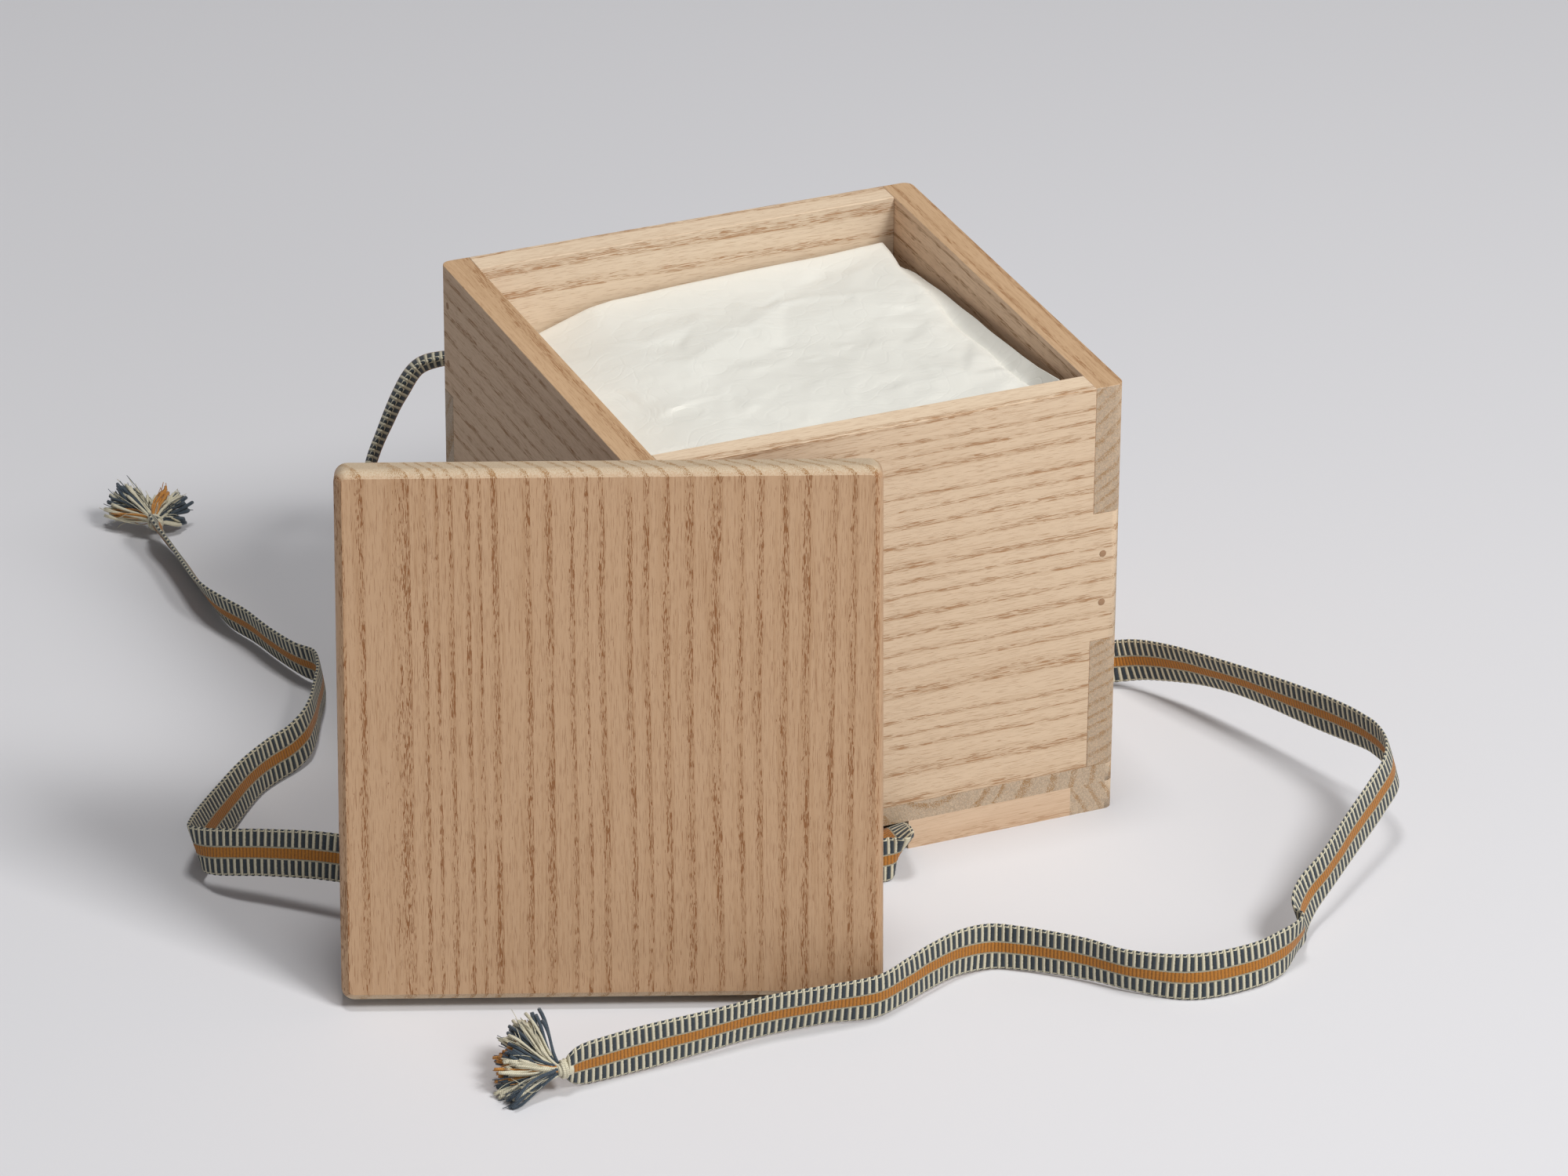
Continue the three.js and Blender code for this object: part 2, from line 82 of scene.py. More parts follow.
camera_place = box_middle + Vector((-761.73, -1775.07, 1050.42)) * mm
yaw, pitch, roll = (math.radians(a) for a in (23.2973, 27.3686, 0.3526))
forward = Vector((math.sin(yaw) * math.cos(pitch), math.cos(yaw) * math.cos(pitch), -math.sin(pitch)))
level = Vector((math.cos(yaw), -math.sin(yaw), 0))
raised = level.cross(forward)
right = level * math.cos(roll) + raised * math.sin(roll)
upward = raised * math.cos(roll) - level * math.sin(roll)
camera = add_object("camera", bpy.data.cameras.new("camera"), Matrix([
    (right.x, upward.x, -forward.x, camera_place.x),
    (right.y, upward.y, -forward.y, camera_place.y),
    (right.z, upward.z, -forward.z, camera_place.z),
    (0, 0, 0, 1)]))
camera.data.sensor_width = 36
camera.data.lens = 170.831
camera.data.clip_end = 50
bpy.context.scene.camera = camera
print("camera", round(camera.data.lens), "mm lens,", round(camera_place.length, 2), "m from the origin")

# %% [markdown]
# The ribbon is one long flat strap. It crosses under the box both ways, comes out of the slots,
# stands on edge in soft bends and ends in two tassels. Its course is written down row by row:
# a point on its middle line, then how far its upper edge leans along X and along Y, and a
# thickness where the woven tube stands open. The solids follow the same rows, except that the
# soft ribbon hangs higher in the front slot and leans over further near the front tassel.

# %% Ribbon course
ribbon_courses = {
    "ribbon_front_tail": [
        (2.6, -66.3, 0.9, 1, 0), (2.3, -70.6, 4.6, 0.99, 0), (1.8, -75.4, 7.3, 0.97, 0),
        (1.4, -80, 8, 0.9, -0.04), (1.3, -84.4, 7.9, 0.75, -0.08), (0.9, -87.8, 7.4, 0.56, -0.02),
        (-1.4, -89.4, 7, 0.34, 0.05), (-5.4, -89.8, 7, 0.1, 0.08), (-14, -89.6, 7, 0.04, 0.1),
        (-30, -92, 7, 0, 0.05), (-50, -94.2, 7, 0, 0.02), (-72, -94, 7.2, 0, 0.02),
        (-94.7, -88.8, 9, 0.02, 0.05), (-116.2, -78.9, 13, 0.05, 0.14),
        (-135.8, -66.4, 17.5, 0.09, 0.24), (-154.3, -47.1, 18, 0.13, 0.31),
        (-169.9, -32, 15.2, 0.12, 0.42), (-177.6, -25.1, 13.4, 0.06, 0.47),
        (-182.5, -19.1, 11.6, -0.06, 0.5), (-184.2, -12.8, 10, -0.16, 0.48),
        (-181.4, -7.1, 9, -0.24, 0.44), (-173.8, 3.6, 7.6, -0.28, 0.4),
        (-165.2, 14.2, 6.9, -0.26, 0.34), (-158.2, 21.9, 7, -0.28, 0.2), (-151.6, 28, 7.2, -0.24, 0.12),
        (-144.6, 33, 7.3, -0.12, 0.22), (-137.9, 36.6, 7.8, -0.1, 0.2), (-132, 41.2, 9, -0.13, 0.16),
        (-126.8, 48.8, 9.6, -0.12, 0.07), (-122.3, 58.2, 9.4, -0.12, 0.02),
        (-116.8, 70, 8.8, -0.17, -0.06), (-114.3, 80.3, 8.2, -0.22, -0.12),
        (-117.3, 87.8, 7.8, -0.26, -0.15), (-120.5, 100.6, 7.4, -0.28, -0.13),
        (-123.4, 115.3, 7.3, -0.27, -0.12), (-126.6, 125.4, 7.2, -0.3, -0.14),
        (-128.1, 134, 7, -0.4, -0.18), (-128.2, 143.1, 6.6, -0.5, -0.24),
        (-127.5, 161.3, 6, -0.5, -0.24), (-127.4, 175.5, 6.4, -0.48, -0.24),
        (-127.9, 183.8, 6.9, -0.46, -0.26), (-127.3, 190.6, 7.1, -0.46, -0.28),
    ],
    "ribbon_rear_tail": [
        (66.3, 2.6, 0.9, 0, 1), (72, 2.6, 1, 0, 1), (77.6, 2.3, 1.5, 0, 1), (84.2, 0.7, 4.2, 0, 0.9),
        (91.6, -1.8, 6.2, -0.03, 0.7), (99.5, -4.8, 7.6, -0.05, 0.42), (107.8, -9.2, 9, -0.07, 0.15),
        (112.4, -14.6, 11.1, -0.17, 0.1), (119.6, -29.3, 15, -0.37, 0.13),
        (124.2, -41.4, 17.3, -0.42, 0.1), (128.6, -53.4, 18.9, -0.4, 0.17),
        (136.9, -78.3, 21.2, -0.31, 0.42), (140.7, -90.9, 22.4, -0.29, 0.45),
        (143, -100.3, 23.2, -0.27, 0.35), (143.8, -108.4, 23.4, -0.19, 0.25),
        (142.6, -117.4, 23.5, -0.27, 0.04), (139.2, -124.2, 22.6, -0.42, -0.11),
        (130.4, -132.2, 20.3, -0.41, -0.1), (117.4, -143, 17.4, -0.44, -0.12),
        (104, -154.1, 14.1, -0.39, -0.12), (93.4, -162, 11.3, -0.43, -0.05),
        (88.6, -167.6, 9.6, -0.47, -0.2), (87.2, -171.8, 8, -0.34, -0.5),
        (83.1, -175.8, 7.2, -0.1, -0.22), (76.6, -180.2, 7, 0.03, 0.15),
        (66.8, -183.6, 7.1, 0.01, 0.16), (48, -182.8, 7, -0.02, 0.14),
        (33.4, -173.8, 7.5, -0.14, -0.01), (24.3, -163.2, 7.6, -0.12, 0.11),
        (10.5, -150.6, 7.3, -0.06, 0.12), (3.2, -146.2, 7.2, -0.01, 0.12),
        (-6.5, -147, 7.9, 0.09, 0.11), (-17.7, -151.4, 8.2, 0.19, 0.17), (-27, -155.6, 7.8, 0.22, 0.15),
        (-37.5, -159.6, 7.5, 0.12, 0), (-51.3, -158.5, 7.6, 0, -0.17),
        (-70.1, -157.8, 7.7, 0.09, -0.11), (-89.6, -159.3, 7.7, 0.15, -0.03),
        (-108, -160.4, 7.5, 0.12, 0.04), (-130.4, -161.8, 7.1, -0.04, -0.1),
    ],
    "ribbon_corner_loop": [
        (2.6, 66.3, 0.9, -1, 0), (2.6, 72, 1, -1, 0), (2.6, 77.6, 1.5, -1, 0),
        (1.8, 86, 4.8, -0.99, -0.06), (-1.6, 98, 14.6, -0.92, -0.25, 1.6),
        (-8.4, 110.5, 32, -0.78, -0.48, 2), (-19, 120, 52.5, -0.62, -0.66, 3),
        (-32, 126.6, 68, -0.48, -0.76, 4.2), (-44.9, 130.1, 75.4, -0.38, -0.81, 4.6),
        (-52.5, 132.9, 75.7, -0.35, -0.82, 4.8), (-60.3, 134.9, 73.4, -0.35, -0.82, 5),
        (-67.1, 133.5, 65.8, -0.35, -0.82, 4.8), (-72.2, 131.6, 58, -0.34, -0.8, 4.2),
        (-78.4, 128.3, 47.9, -0.33, -0.78, 3.4), (-84, 121.5, 36.5, -0.33, -0.74, 2.4),
        (-89.4, 111, 25.4, -0.3, -0.62, 1.8), (-94, 96, 16.2, -0.24, -0.42),
        (-97, 78, 10.4, -0.16, -0.2), (-98.4, 58, 7.8, -0.08, -0.04), (-97.6, 38, 7.2, -0.04, 0),
        (-94.4, 20, 7, -0.1, -0.1), (-89.6, 9.4, 6.6, -0.2, -0.42), (-83.6, 4.3, 4.4, -0.1, -0.84),
        (-77.4, 2.8, 1.5, 0, -1), (-72, 2.6, 1, 0, -1), (-66.3, 2.6, 0.9, 0, -1),
    ],
    "ribbon_under_front": [
        (2.6, -66, 0.9, 1, 0), (2.6, -22, 0.9, 1, 0), (2.6, 22, 0.9, 1, 0), (2.6, 66, 0.9, 1, 0),
    ],
    "ribbon_under_side": [
        (-66, 2.6, 0.9, 0, 1), (-26, 2.6, 1.1, 0, 1), (-12, 2.6, 2.3, 0, 1), (-5, 2.6, 2.9, 0, 1),
        (2.6, 2.6, 3, 0, 1), (10, 2.6, 2.9, 0, 1), (17, 2.6, 2.3, 0, 1), (31, 2.6, 1.1, 0, 1),
        (66, 2.6, 0.9, 0, 1),
    ],
}
print({name: len(rows) for name, rows in ribbon_courses.items()})

# %% [markdown]
# A curve that passes through all rows without overshooting is a centripetal Catmull-Rom spline.
# Blender's own curves have none, so it is worked out here, four rows at a time. The lean of the
# ribbon follows the same parameter with the plain form of the spline. The result is a list of
# stations at even steps, each with its middle, its direction and its width direction.

# %% Smooth line through the rows
ribbon_width, ribbon_thickness, selvage_thickness = 13.6, 1.4, 0.9
ladder_step = 2.15
ribbon_step = ladder_step / 5
parts_between_rows = 60


def between(p, w, steps):
    slopes = []
    for i in (0, 1):
        before, here, after, first, second = *p[i:i + 3], *steps[i:i + 2]
        slope = (here - before) / first - (after - before) / (first + second) + (after - here) / second
        slopes.append(slope * steps[1])
    start, end = p[1], p[2]
    square = 3 * (end - start) - 2 * slopes[0] - slopes[1]
    cube = 2 * (start - end) + slopes[0] + slopes[1]
    return start + w * slopes[0] + w * w * square + w * w * w * cube


def padded(values):
    return np.vstack([2 * values[0] - values[1], values, 2 * values[-1] - values[-2]])


def lay_out(rows, step):
    middles = padded(np.array([row[:3] for row in rows], float))
    leans = padded(np.array([(*row[3:], ribbon_thickness)[:3] for row in rows], float))
    points, tilts = [], []
    for k in range(len(rows) - 1):
        p, q = middles[k:k + 4], leans[k:k + 4]
        steps = [max(np.linalg.norm(p[i + 1] - p[i]) ** 0.5, 1e-4) for i in range(3)]
        for w in np.arange(0, 1, 1 / parts_between_rows):
            points.append(between(p, w, steps))
            tilts.append(between(q, w, [1, 1, 1]))
    points, tilts = np.array(points + [middles[-2]]), np.array(tilts + [leans[-2]])
    run = np.concatenate([[0], np.cumsum(np.linalg.norm(np.diff(points, axis=0), axis=1))])
    far = np.linspace(0, run[-1], int(round(run[-1] / step)) + 1)
    middle = np.column_stack([np.interp(far, run, points[:, i]) for i in range(3)])
    tilt = np.column_stack([np.interp(far, run, tilts[:, i]) for i in range(3)])
    along = np.gradient(middle, far, axis=0)
    along /= np.linalg.norm(along, axis=1)[:, None]
    flat = np.minimum(np.hypot(tilt[:, 0], tilt[:, 1]), 1)
    width = np.column_stack([tilt[:, 0], tilt[:, 1], np.sqrt(1 - flat ** 2)])
    width -= along * np.sum(width * along, axis=1)[:, None]
    width /= np.linalg.norm(width, axis=1)[:, None]
    return {"far": far, "middle": middle, "along": along, "width": width, "thick": tilt[:, 2]}


laid = {name: lay_out(rows, ribbon_step) for name, rows in ribbon_courses.items()}
print({name: round(float(line["far"][-1])) for name, line in laid.items()}, "mm long")

# %% [markdown]
# A helper turns lists of points and faces into a mesh object. The points may carry a map of two
# numbers, such as the distance along the ribbon and the place across it, for the weave to use.

# %% Mesh helper
def make_piece(name, points, faces, finish=None, flow=None, place=None):
    mesh = bpy.data.meshes.new(name)
    mesh.from_pydata([tuple(p) for p in np.asarray(points, float) * mm], [], [tuple(f) for f in faces])
    if flow is not None:
        layer = mesh.uv_layers.new(name="flow")
        corners = np.zeros(len(mesh.loops), np.int32)
        mesh.loops.foreach_get("vertex_index", corners)
        layer.data.foreach_set("uv", np.asarray(flow, np.float32)[corners].ravel())
    mesh.polygons.foreach_set("use_smooth", [True] * len(mesh.polygons))
    if finish:
        mesh.materials.append(finish)
    return add_object(name, mesh, Matrix.Translation(box_middle) if place is None else place)


def loft_faces(rings, sides):
    k, i = np.meshgrid(np.arange(rings - 1), np.arange(sides), indexing="ij")
    a, b = k * sides + i, k * sides + (i + 1) % sides
    around = np.stack([a, b, b + sides, a + sides], axis=-1).reshape(-1, 4).tolist()
    return around + [list(range(sides))[::-1], list(range((rings - 1) * sides, rings * sides))]


print("a ring of 4 lofted twice has", len(loft_faces(3, 4)), "faces")

# %% [markdown]
# The cross-section of the ribbon is a flat tube with round selvages. Its middle swells where the
# tube stands open, as on top of the loop behind the box. Towards a tassel the ribbon narrows
# and thickens, because the thread that binds it draws it together.

# %% Ribbon meshes
across = np.array([1, 0.985, 0.95, 0.88, 0.75, 0.55, 0.3, 0, -0.3, -0.55, -0.75, -0.88, -0.95, -0.985, -1])
neck_length, neck_width, neck_thickness = 7.5, 5.0, 4.0
selvage_roundness = 16
breadth_wave, breadth_pitch, rib_wave = 0.22, 0.11, 0.14
first_wave, first_pitch, second_wave, second_pitch = 0.16, 0.19, 0.08, 0.53


def tube_rings(line, necked, seed):
    wave = random.Random(seed)
    phases = [wave.uniform(0, 6.28) for _ in range(3)]
    far, sides = line["far"], len(across) * 2 - 2
    left = np.clip((far[-1] - far) / neck_length, 0, 1) if necked else np.ones_like(far)
    draw = np.sqrt(1 - (1 - left) ** 2.4)
    breadth = neck_width + (ribbon_width - neck_width) * draw
    breadth += breadth_wave * np.sin(far * breadth_pitch + phases[0])
    breadth += rib_wave * np.sin(far * 2 * math.pi / ladder_step)
    thick = neck_thickness + (line["thick"] - neck_thickness) * draw
    thick += first_wave * np.sin(far * first_pitch + phases[1])
    thick += second_wave * np.sin(far * second_pitch + phases[2])
    body = np.abs(across)
    edge = np.sqrt(np.clip(1 - body ** selvage_roundness, 0, 1)) * selvage_thickness / 2
    face = np.cross(line["along"], line["width"])
    rings = np.zeros((len(far), sides, 3))
    flow = np.zeros((len(far), sides, 2))
    lift = 1 - body ** 2
    for i in range(sides):
        j, sign = (i, 1) if i < len(across) else (sides - i, -1)
        high = edge[j] + (thick - selvage_thickness) / 2 * lift[j]
        rings[:, i] = (line["middle"] + line["width"] * (across[j] * breadth / 2)[:, None]
                       + face * (sign * high)[:, None])
        flow[:, i] = np.column_stack([far, np.full_like(far, across[j])])
    return rings, flow.reshape(-1, 2)


ribbon_pieces = {}
least_height = 0.02
for number, (name, line) in enumerate(laid.items()):
    rings, flow = tube_rings(line, name.endswith("tail"), number)
    points = rings.reshape(-1, 3)
    points[:, 2] = np.maximum(points[:, 2], least_height)
    faces = loft_faces(*rings.shape[:2])
    piece = make_piece(name.replace("ribbon", "woven"), points, faces, flow=flow)
    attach(piece, "box")
    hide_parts(name)
    ribbon_pieces[name] = piece
print(sum(len(p.data.polygons) for p in ribbon_pieces.values()), "faces of ribbon")

# %% [markdown]
# Each end of the ribbon is bound with a few turns of thread and frays into a tassel. A tassel is
# a bunch of single threads, so it is built as one: locks of threads that start together in the
# binding and part towards their tips. Each lock has a colour, the place of its tip seen from the
# binding, and a number of threads.

# %% Tassel locks
tassel_locks = {
    "front": [
        ("navy", -8.5, 16.4, 1.1, 12), ("cream", -6.8, 16.9, 4.1, 11), ("navy", -5.3, 16.6, 5.6, 9),
        ("cream", -3.3, 15.7, 5.1, 10), ("navy", -1.7, 18.2, 7.1, 1), ("cream", -1.2, 13.2, 4.1, 8),
        ("cream", 1.0, 9.1, 3.1, 6), ("cream", -10.2, 14.0, -0.6, 13), ("ochre", -8.8, 13.0, -2.0, 10),
        ("cream", -7.9, 11.2, -3.2, 6), ("ochre", 7.0, 10.1, 4.3, 8), ("ochre", 7.7, 8.7, 1.6, 6),
        ("cream", 4.6, 8.6, 3.1, 8), ("cream", 10.8, 8.4, 3.1, 10), ("navy", 12.4, 7.4, 1.9, 9),
        ("navy", 12.9, 6.6, -0.9, 7), ("navy", 10.9, 4.6, -3.6, 5), ("cream", 9.3, 3.7, -3.9, 7)],
    "rear": [
        ("navy", -1.3, 18.6, 7.9, 3), ("navy", 0.2, 17.9, 6.9, 2), ("cream", -3.2, 18.9, 5.9, 14),
        ("cream", -4.9, 19.2, 3.9, 12), ("navy", -6.8, 18.0, 3.9, 10), ("navy", -8.7, 17.6, 1.9, 10),
        ("cream", -9.5, 15.6, 2.9, 9), ("ochre", -11.7, 13.4, 1.9, 9), ("ochre", -13.6, 11.2, 0.4, 9),
        ("ochre", -14.9, 8.2, -1.6, 9), ("ochre", -14.9, 6.4, -3.1, 6), ("navy", -13.4, 13.3, -1.1, 8),
        ("navy", -11.4, 9.3, 2.9, 9), ("cream", -12.6, 6.3, 1.9, 10), ("navy", -15.7, 6.8, -4.6, 9),
        ("cream", -15.3, 2.9, -5.5, 10), ("navy", -15.4, -2.6, -5.9, 4), ("navy", -15.7, 0.5, -5.8, 7),
        ("cream", -12.9, -0.9, -5.1, 7), ("cream", -14.3, 4.8, -0.1, 8), ("navy", -12.0, 2.1, -4.1, 8)],
}
print({name: sum(lock[-1] for lock in locks) for name, locks in tassel_locks.items()}, "threads")

# %% [markdown]
# A thread is a thin tube along a list of points. Many tubes are joined into one mesh, and its flow
# map gives each point's distance along its thread and its turn around it, which the finish needs.

# %% Thread helpers
def thread_rings(points, radius, sides=5):
    points = np.array([tuple(p) for p in points])
    along = np.gradient(points, axis=0)
    along /= np.linalg.norm(along, axis=1)[:, None]
    side = np.cross(along, (0.31, 0.22, 0.93))
    side /= np.linalg.norm(side, axis=1)[:, None]
    other = np.cross(along, side)
    turns = np.arange(sides) * 2 * math.pi / sides
    wide = np.array(radius)[:, None, None]
    return points[:, None] + wide * (np.cos(turns)[None, :, None] * side[:, None]
                                     + np.sin(turns)[None, :, None] * other[:, None])


def join_tubes(tubes):
    points, faces, flow, count = [], [], [], 0
    for rings in tubes:
        n, sides = rings.shape[:2]
        points.append(rings.reshape(-1, 3))
        faces += [[v + count for v in face] for face in loft_faces(n, sides)]
        far = np.concatenate([[0], np.cumsum(np.linalg.norm(np.diff(rings[:, 0], axis=0), axis=1))])
        flow += [(far[k], i / sides) for k in range(n) for i in range(sides)]
        count += n * sides
    return np.vstack(points), faces, np.array(flow)


short_thread = thread_rings([(0, 0, 0), (0, 1, 0), (0, 2, 0)], [1, 1, 1])
print("a thread of", len(short_thread), "points has", len(short_thread[0]), "sides")

# %% [markdown]
# The threads of a lock bend a little, each in its own way, and beside each one goes a fine loose
# hair, which softens the bunch. No thread may sink into the floor that the tassel lies on.

# %% Tassels
binding_reach, sideways_start, forward_bow, lowest_thread = 2.0, 0.9, 9, 0.6
hair_radius, thread_radius, tip_reach = 0.09, (0.34, 0.44), (0.88, 1.03)
hair_spread, thread_spread, hair_sway, thread_sway = 0.16, 0.1, 1.1, 0.6
thread_steps = np.linspace(0, 1, 11)


def tassel_tubes(end, along, locks, seed):
    wave = random.Random(seed)
    tubes = {"navy": [], "cream": [], "ochre": []}
    for colour, x, y, z, count in locks:
        for number in range(count * 2):
            hair = number >= count
            spread = (hair_spread if hair else thread_spread) * Vector((x, y, z)).length
            tip = Vector((x, y, z)) * wave.uniform(*tip_reach)
            tip += Vector([wave.gauss(0, 0.5) for _ in range(3)]) * spread
            start = end + Vector([wave.uniform(-sideways_start, sideways_start) for _ in range(3)])
            sway = Vector([wave.gauss(0, hair_sway if hair else thread_sway) for _ in range(3)])
            points = []
            for t in thread_steps:
                lead = along * (t * (1 - t) * forward_bow)
                point = start + tip * t + lead * (1 - t) + sway * math.sin(t * math.pi)
                point.z = max(point.z, lowest_thread)
                points.append(point)
            thick = hair_radius if hair else wave.uniform(*thread_radius)
            radius = [thick * (1 + 0.15 * math.sin(t * 9) + 0.2 * t) for t in thread_steps]
            tubes[colour].append(thread_rings(points, radius, 4 if hair else 6))
    return tubes


tassel_pieces = {}
for number, (name, locks) in enumerate(tassel_locks.items()):
    line = laid[f"ribbon_{name}_tail"]
    end, along = Vector(line["middle"][-1]), Vector(line["along"][-1])
    for colour, tubes in tassel_tubes(end + along * binding_reach, along, locks, 40 + number).items():
        points, faces, flow = join_tubes(tubes)
        piece = make_piece(f"tassel_{name}_{colour}", points, faces, flow=flow)
        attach(piece, "box")
        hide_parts(f"tassel_{name}")
        tassel_pieces[name, colour] = piece
print({f"{name} {colour}": len(p.data.polygons) for (name, colour), p in tassel_pieces.items()})

# %% [markdown]
# The binding is thread wound round the drawn-in end: a flat helix of four tight turns, a little
# uneven, with a plug of ribbon ends inside it so that no light shows through.

# %% Bindings
winding_turns, winding_width, winding_flatness, winding_thread = 4, 2.6, 0.8, 0.42
winding_start, winding_length, winding_steps = 0.2, 1.4, 90
winding_taper, winding_play, play_pitch, lowest_winding = 0.3, 0.1, 1.7, 0.05
plug_start, plug_length, plug_radii = -1.5, 4.4, [1.9, 2.1, 2, 1.9, 1.8, 1.5]
binding_pieces = {}
for name in tassel_locks:
    line = laid[f"ribbon_{name}_tail"]
    end, along, width = (Vector(line[key][-1]) for key in ("middle", "along", "width"))
    face = along.cross(width)
    turns = []
    for t in np.linspace(0, 1, winding_steps):
        angle = t * 2 * math.pi * winding_turns
        reach = winding_width - winding_taper * t + winding_play * math.sin(angle * play_pitch)
        turns.append(end + along * (winding_start + t * winding_length) + width * (math.cos(angle) * reach)
                     + face * (math.sin(angle) * reach * winding_flatness))
    plug = [end + along * (plug_start + t) for t in np.linspace(0, plug_length, len(plug_radii))]
    tubes = [thread_rings(turns, [winding_thread] * len(turns), 6), thread_rings(plug, plug_radii, 14)]
    points, faces, flow = join_tubes(tubes)
    points[:, 2] = np.maximum(points[:, 2], lowest_winding)
    piece = make_piece(f"wound_thread_{name}", points, faces, flow=flow)
    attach(piece, "box")
    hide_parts(f"binding_{name}")
    binding_pieces[name] = piece
print(len(binding_pieces), "bindings of", winding_steps, "steps each")

# %% [markdown]
# For each free stretch of ribbon a path of points along its middle is worked out, and the
# tassel pieces on each tail are gathered. The loop behind the corner goes back into the box.
# The two runs under the box are held by the feet, so they aren't free.

def declare(name):
    line = laid[name]
    path = [box_middle + Vector(p) * mm for p in line["middle"][::4]]
    path.append(box_middle + Vector(line["middle"][-1]) * mm)


for name in tassel_locks:
    tassel = [piece for (end, colour), piece in tassel_pieces.items() if end == name]
    declare(f"ribbon_{name}_tail")
declare("ribbon_corner_loop")

# %% [markdown]
# A shader is a tree of nodes. To keep the trees readable, the output of a node is held in a small
# class, `Part`. Sums and products of parts add the nodes that work them out, so a shader reads like
# a formula. `put` adds any other node, `wire` links parts to a node's inputs, and `new_group` starts
# a shared node group that several materials can then place with their own values.

# %% Node helpers
class Part:
    def __init__(self, tree, socket):
        self.tree, self.socket = tree, socket

    def work(self, operation, other=0.0):
        return put(self.tree, "Math", {0: self, 1: other}, operation=operation)

    def __add__(self, other):
        return self.work("ADD", other)

    def __sub__(self, other):
        return self.work("SUBTRACT", other)

    def __rsub__(self, other):
        return put(self.tree, "Math", {0: other, 1: self}, operation="SUBTRACT")

    def __mul__(self, other):
        return self.work("MULTIPLY", other)

    def __truediv__(self, other):
        return self.work("DIVIDE", other)

    def beside(self, output):
        return Part(self.tree, self.socket.node.outputs[output])

    def stretch(self, other, operation="MULTIPLY"):
        return put(self.tree, "VectorMath", {0: self, 1: other}, operation=operation)

    def noise(self, scale, detail=2.0, rough=0.5, output=0):
        settings = {"Vector": self, "Scale": scale, "Detail": detail, "Roughness": rough}
        return put(self.tree, "TexNoise", settings, output)

    def ramp(self, low, high, out_low=0.0, out_high=1.0):
        return put(self.tree, "MapRange", {0: self, 1: low, 2: high, 3: out_low, 4: out_high},
                   interpolation_type="SMOOTHSTEP")

    def blend(self, first, second):
        return put(self.tree, "Mix", {0: self, 6: first, 7: second}, 2, data_type="RGBA")

    def bump(self, strength, distance):
        return put(self.tree, "Bump", {"Strength": strength, "Distance": distance, "Height": self})


def fill(socket, value):
    socket.default_value = (*value, 1) if socket.type == "RGBA" else value


def put(tree, kind, inputs=None, output=0, **settings):
    made = tree.nodes.new("ShaderNode" + kind)
    for key, value in settings.items():
        setattr(made, key, value)
    for key, value in (inputs or {}).items():
        if isinstance(value, Part):
            tree.links.new(value.socket, made.inputs[key])
        else:
            fill(made.inputs[key], value)
    return Part(tree, made.outputs[output])


def wire(node, parts):
    for key, part in parts.items():
        part.tree.links.new(part.socket, node.inputs[key])


def new_group(name, takes, gives):
    tree = bpy.data.node_groups.new(name, "ShaderNodeTree")
    for way, sockets in (("INPUT", takes), ("OUTPUT", gives)):
        for socket, kind in sockets.items():
            tree.interface.new_socket(socket, in_out=way, socket_type="NodeSocket" + kind)
    taken = {socket.name: Part(tree, socket) for socket in tree.nodes.new("NodeGroupInput").outputs}
    return tree, taken, tree.nodes.new("NodeGroupOutput")


def new_finish(name, roughness=0.6, **shader_values):
    finish = bpy.data.materials.new(name)
    finish.use_nodes = True
    shader = finish.node_tree.nodes["Principled BSDF"]
    shader.inputs["Roughness"].default_value = roughness
    for socket, value in shader_values.items():
        fill(shader.inputs[socket.replace("_", " ")], value)
    return finish, finish.node_tree, shader


print("helpers ready")

# %% [markdown]
# Paulownia is light and ring-porous: at the start of each year's ring lies a band of large open
# pores, which a plane cuts into short brown dashes along the grain. Where a board's end shows,
# the same pores are dots along curved rings. So the wood is worked out in space, as in a real
# tree: the distance from the pith gives the ring, stretched noise gives the pores, and face and
# end grain then match at every edge without any picture.

# %% Shared wood group
wood, take, give = new_group("ring_porous_wood", {
    "Place": "Vector", "Facing": "Vector", "Pith": "Vector", "Ring Width": "Float", "Wander": "Float",
    "Pore Strength": "Float", "Pore Length": "Float", "Light": "Color", "Deep": "Color", "Pore": "Color",
    "End": "Color", "End Pore": "Color", "Edge Painted Shading": "Color", "Inner Painted Light": "Color"},
    {"Color": "Color", "Height": "Float", "Roughness": "Float"})
slow = take["Place"].stretch((0.005, 0.03, 0.03))
drift = slow.noise(1.0, 1.0, output="Color").stretch((0.5, 0.5, 0.5), "SUBTRACT")
drift = put(wood, "VectorMath", {0: drift, "Scale": take["Wander"]}, operation="SCALE")
moved = take["Place"].stretch(drift, "ADD")
away = put(wood, "SeparateXYZ", {0: moved.stretch(take["Pith"], "SUBTRACT")})
across_log, up_log = away.beside(1), away.beside(2)
distance = (across_log * across_log + up_log * up_log).work("SQRT")
years = put(wood, "TexNoise", {"W": distance, "Scale": 0.055, "Detail": 1.0}, noise_dimensions="1D")
age = distance / take["Ring Width"] + years * 2.2
age = age + take["Place"].stretch((0.12, 2.6, 2.6)).noise(0.35, 1.0) * 0.12
season = age.work("FRACT")
early = season.ramp(0.0, 0.05) * season.ramp(0.2, 0.52, 1.0, 0.0)
print(len(wood.nodes), "nodes so far")
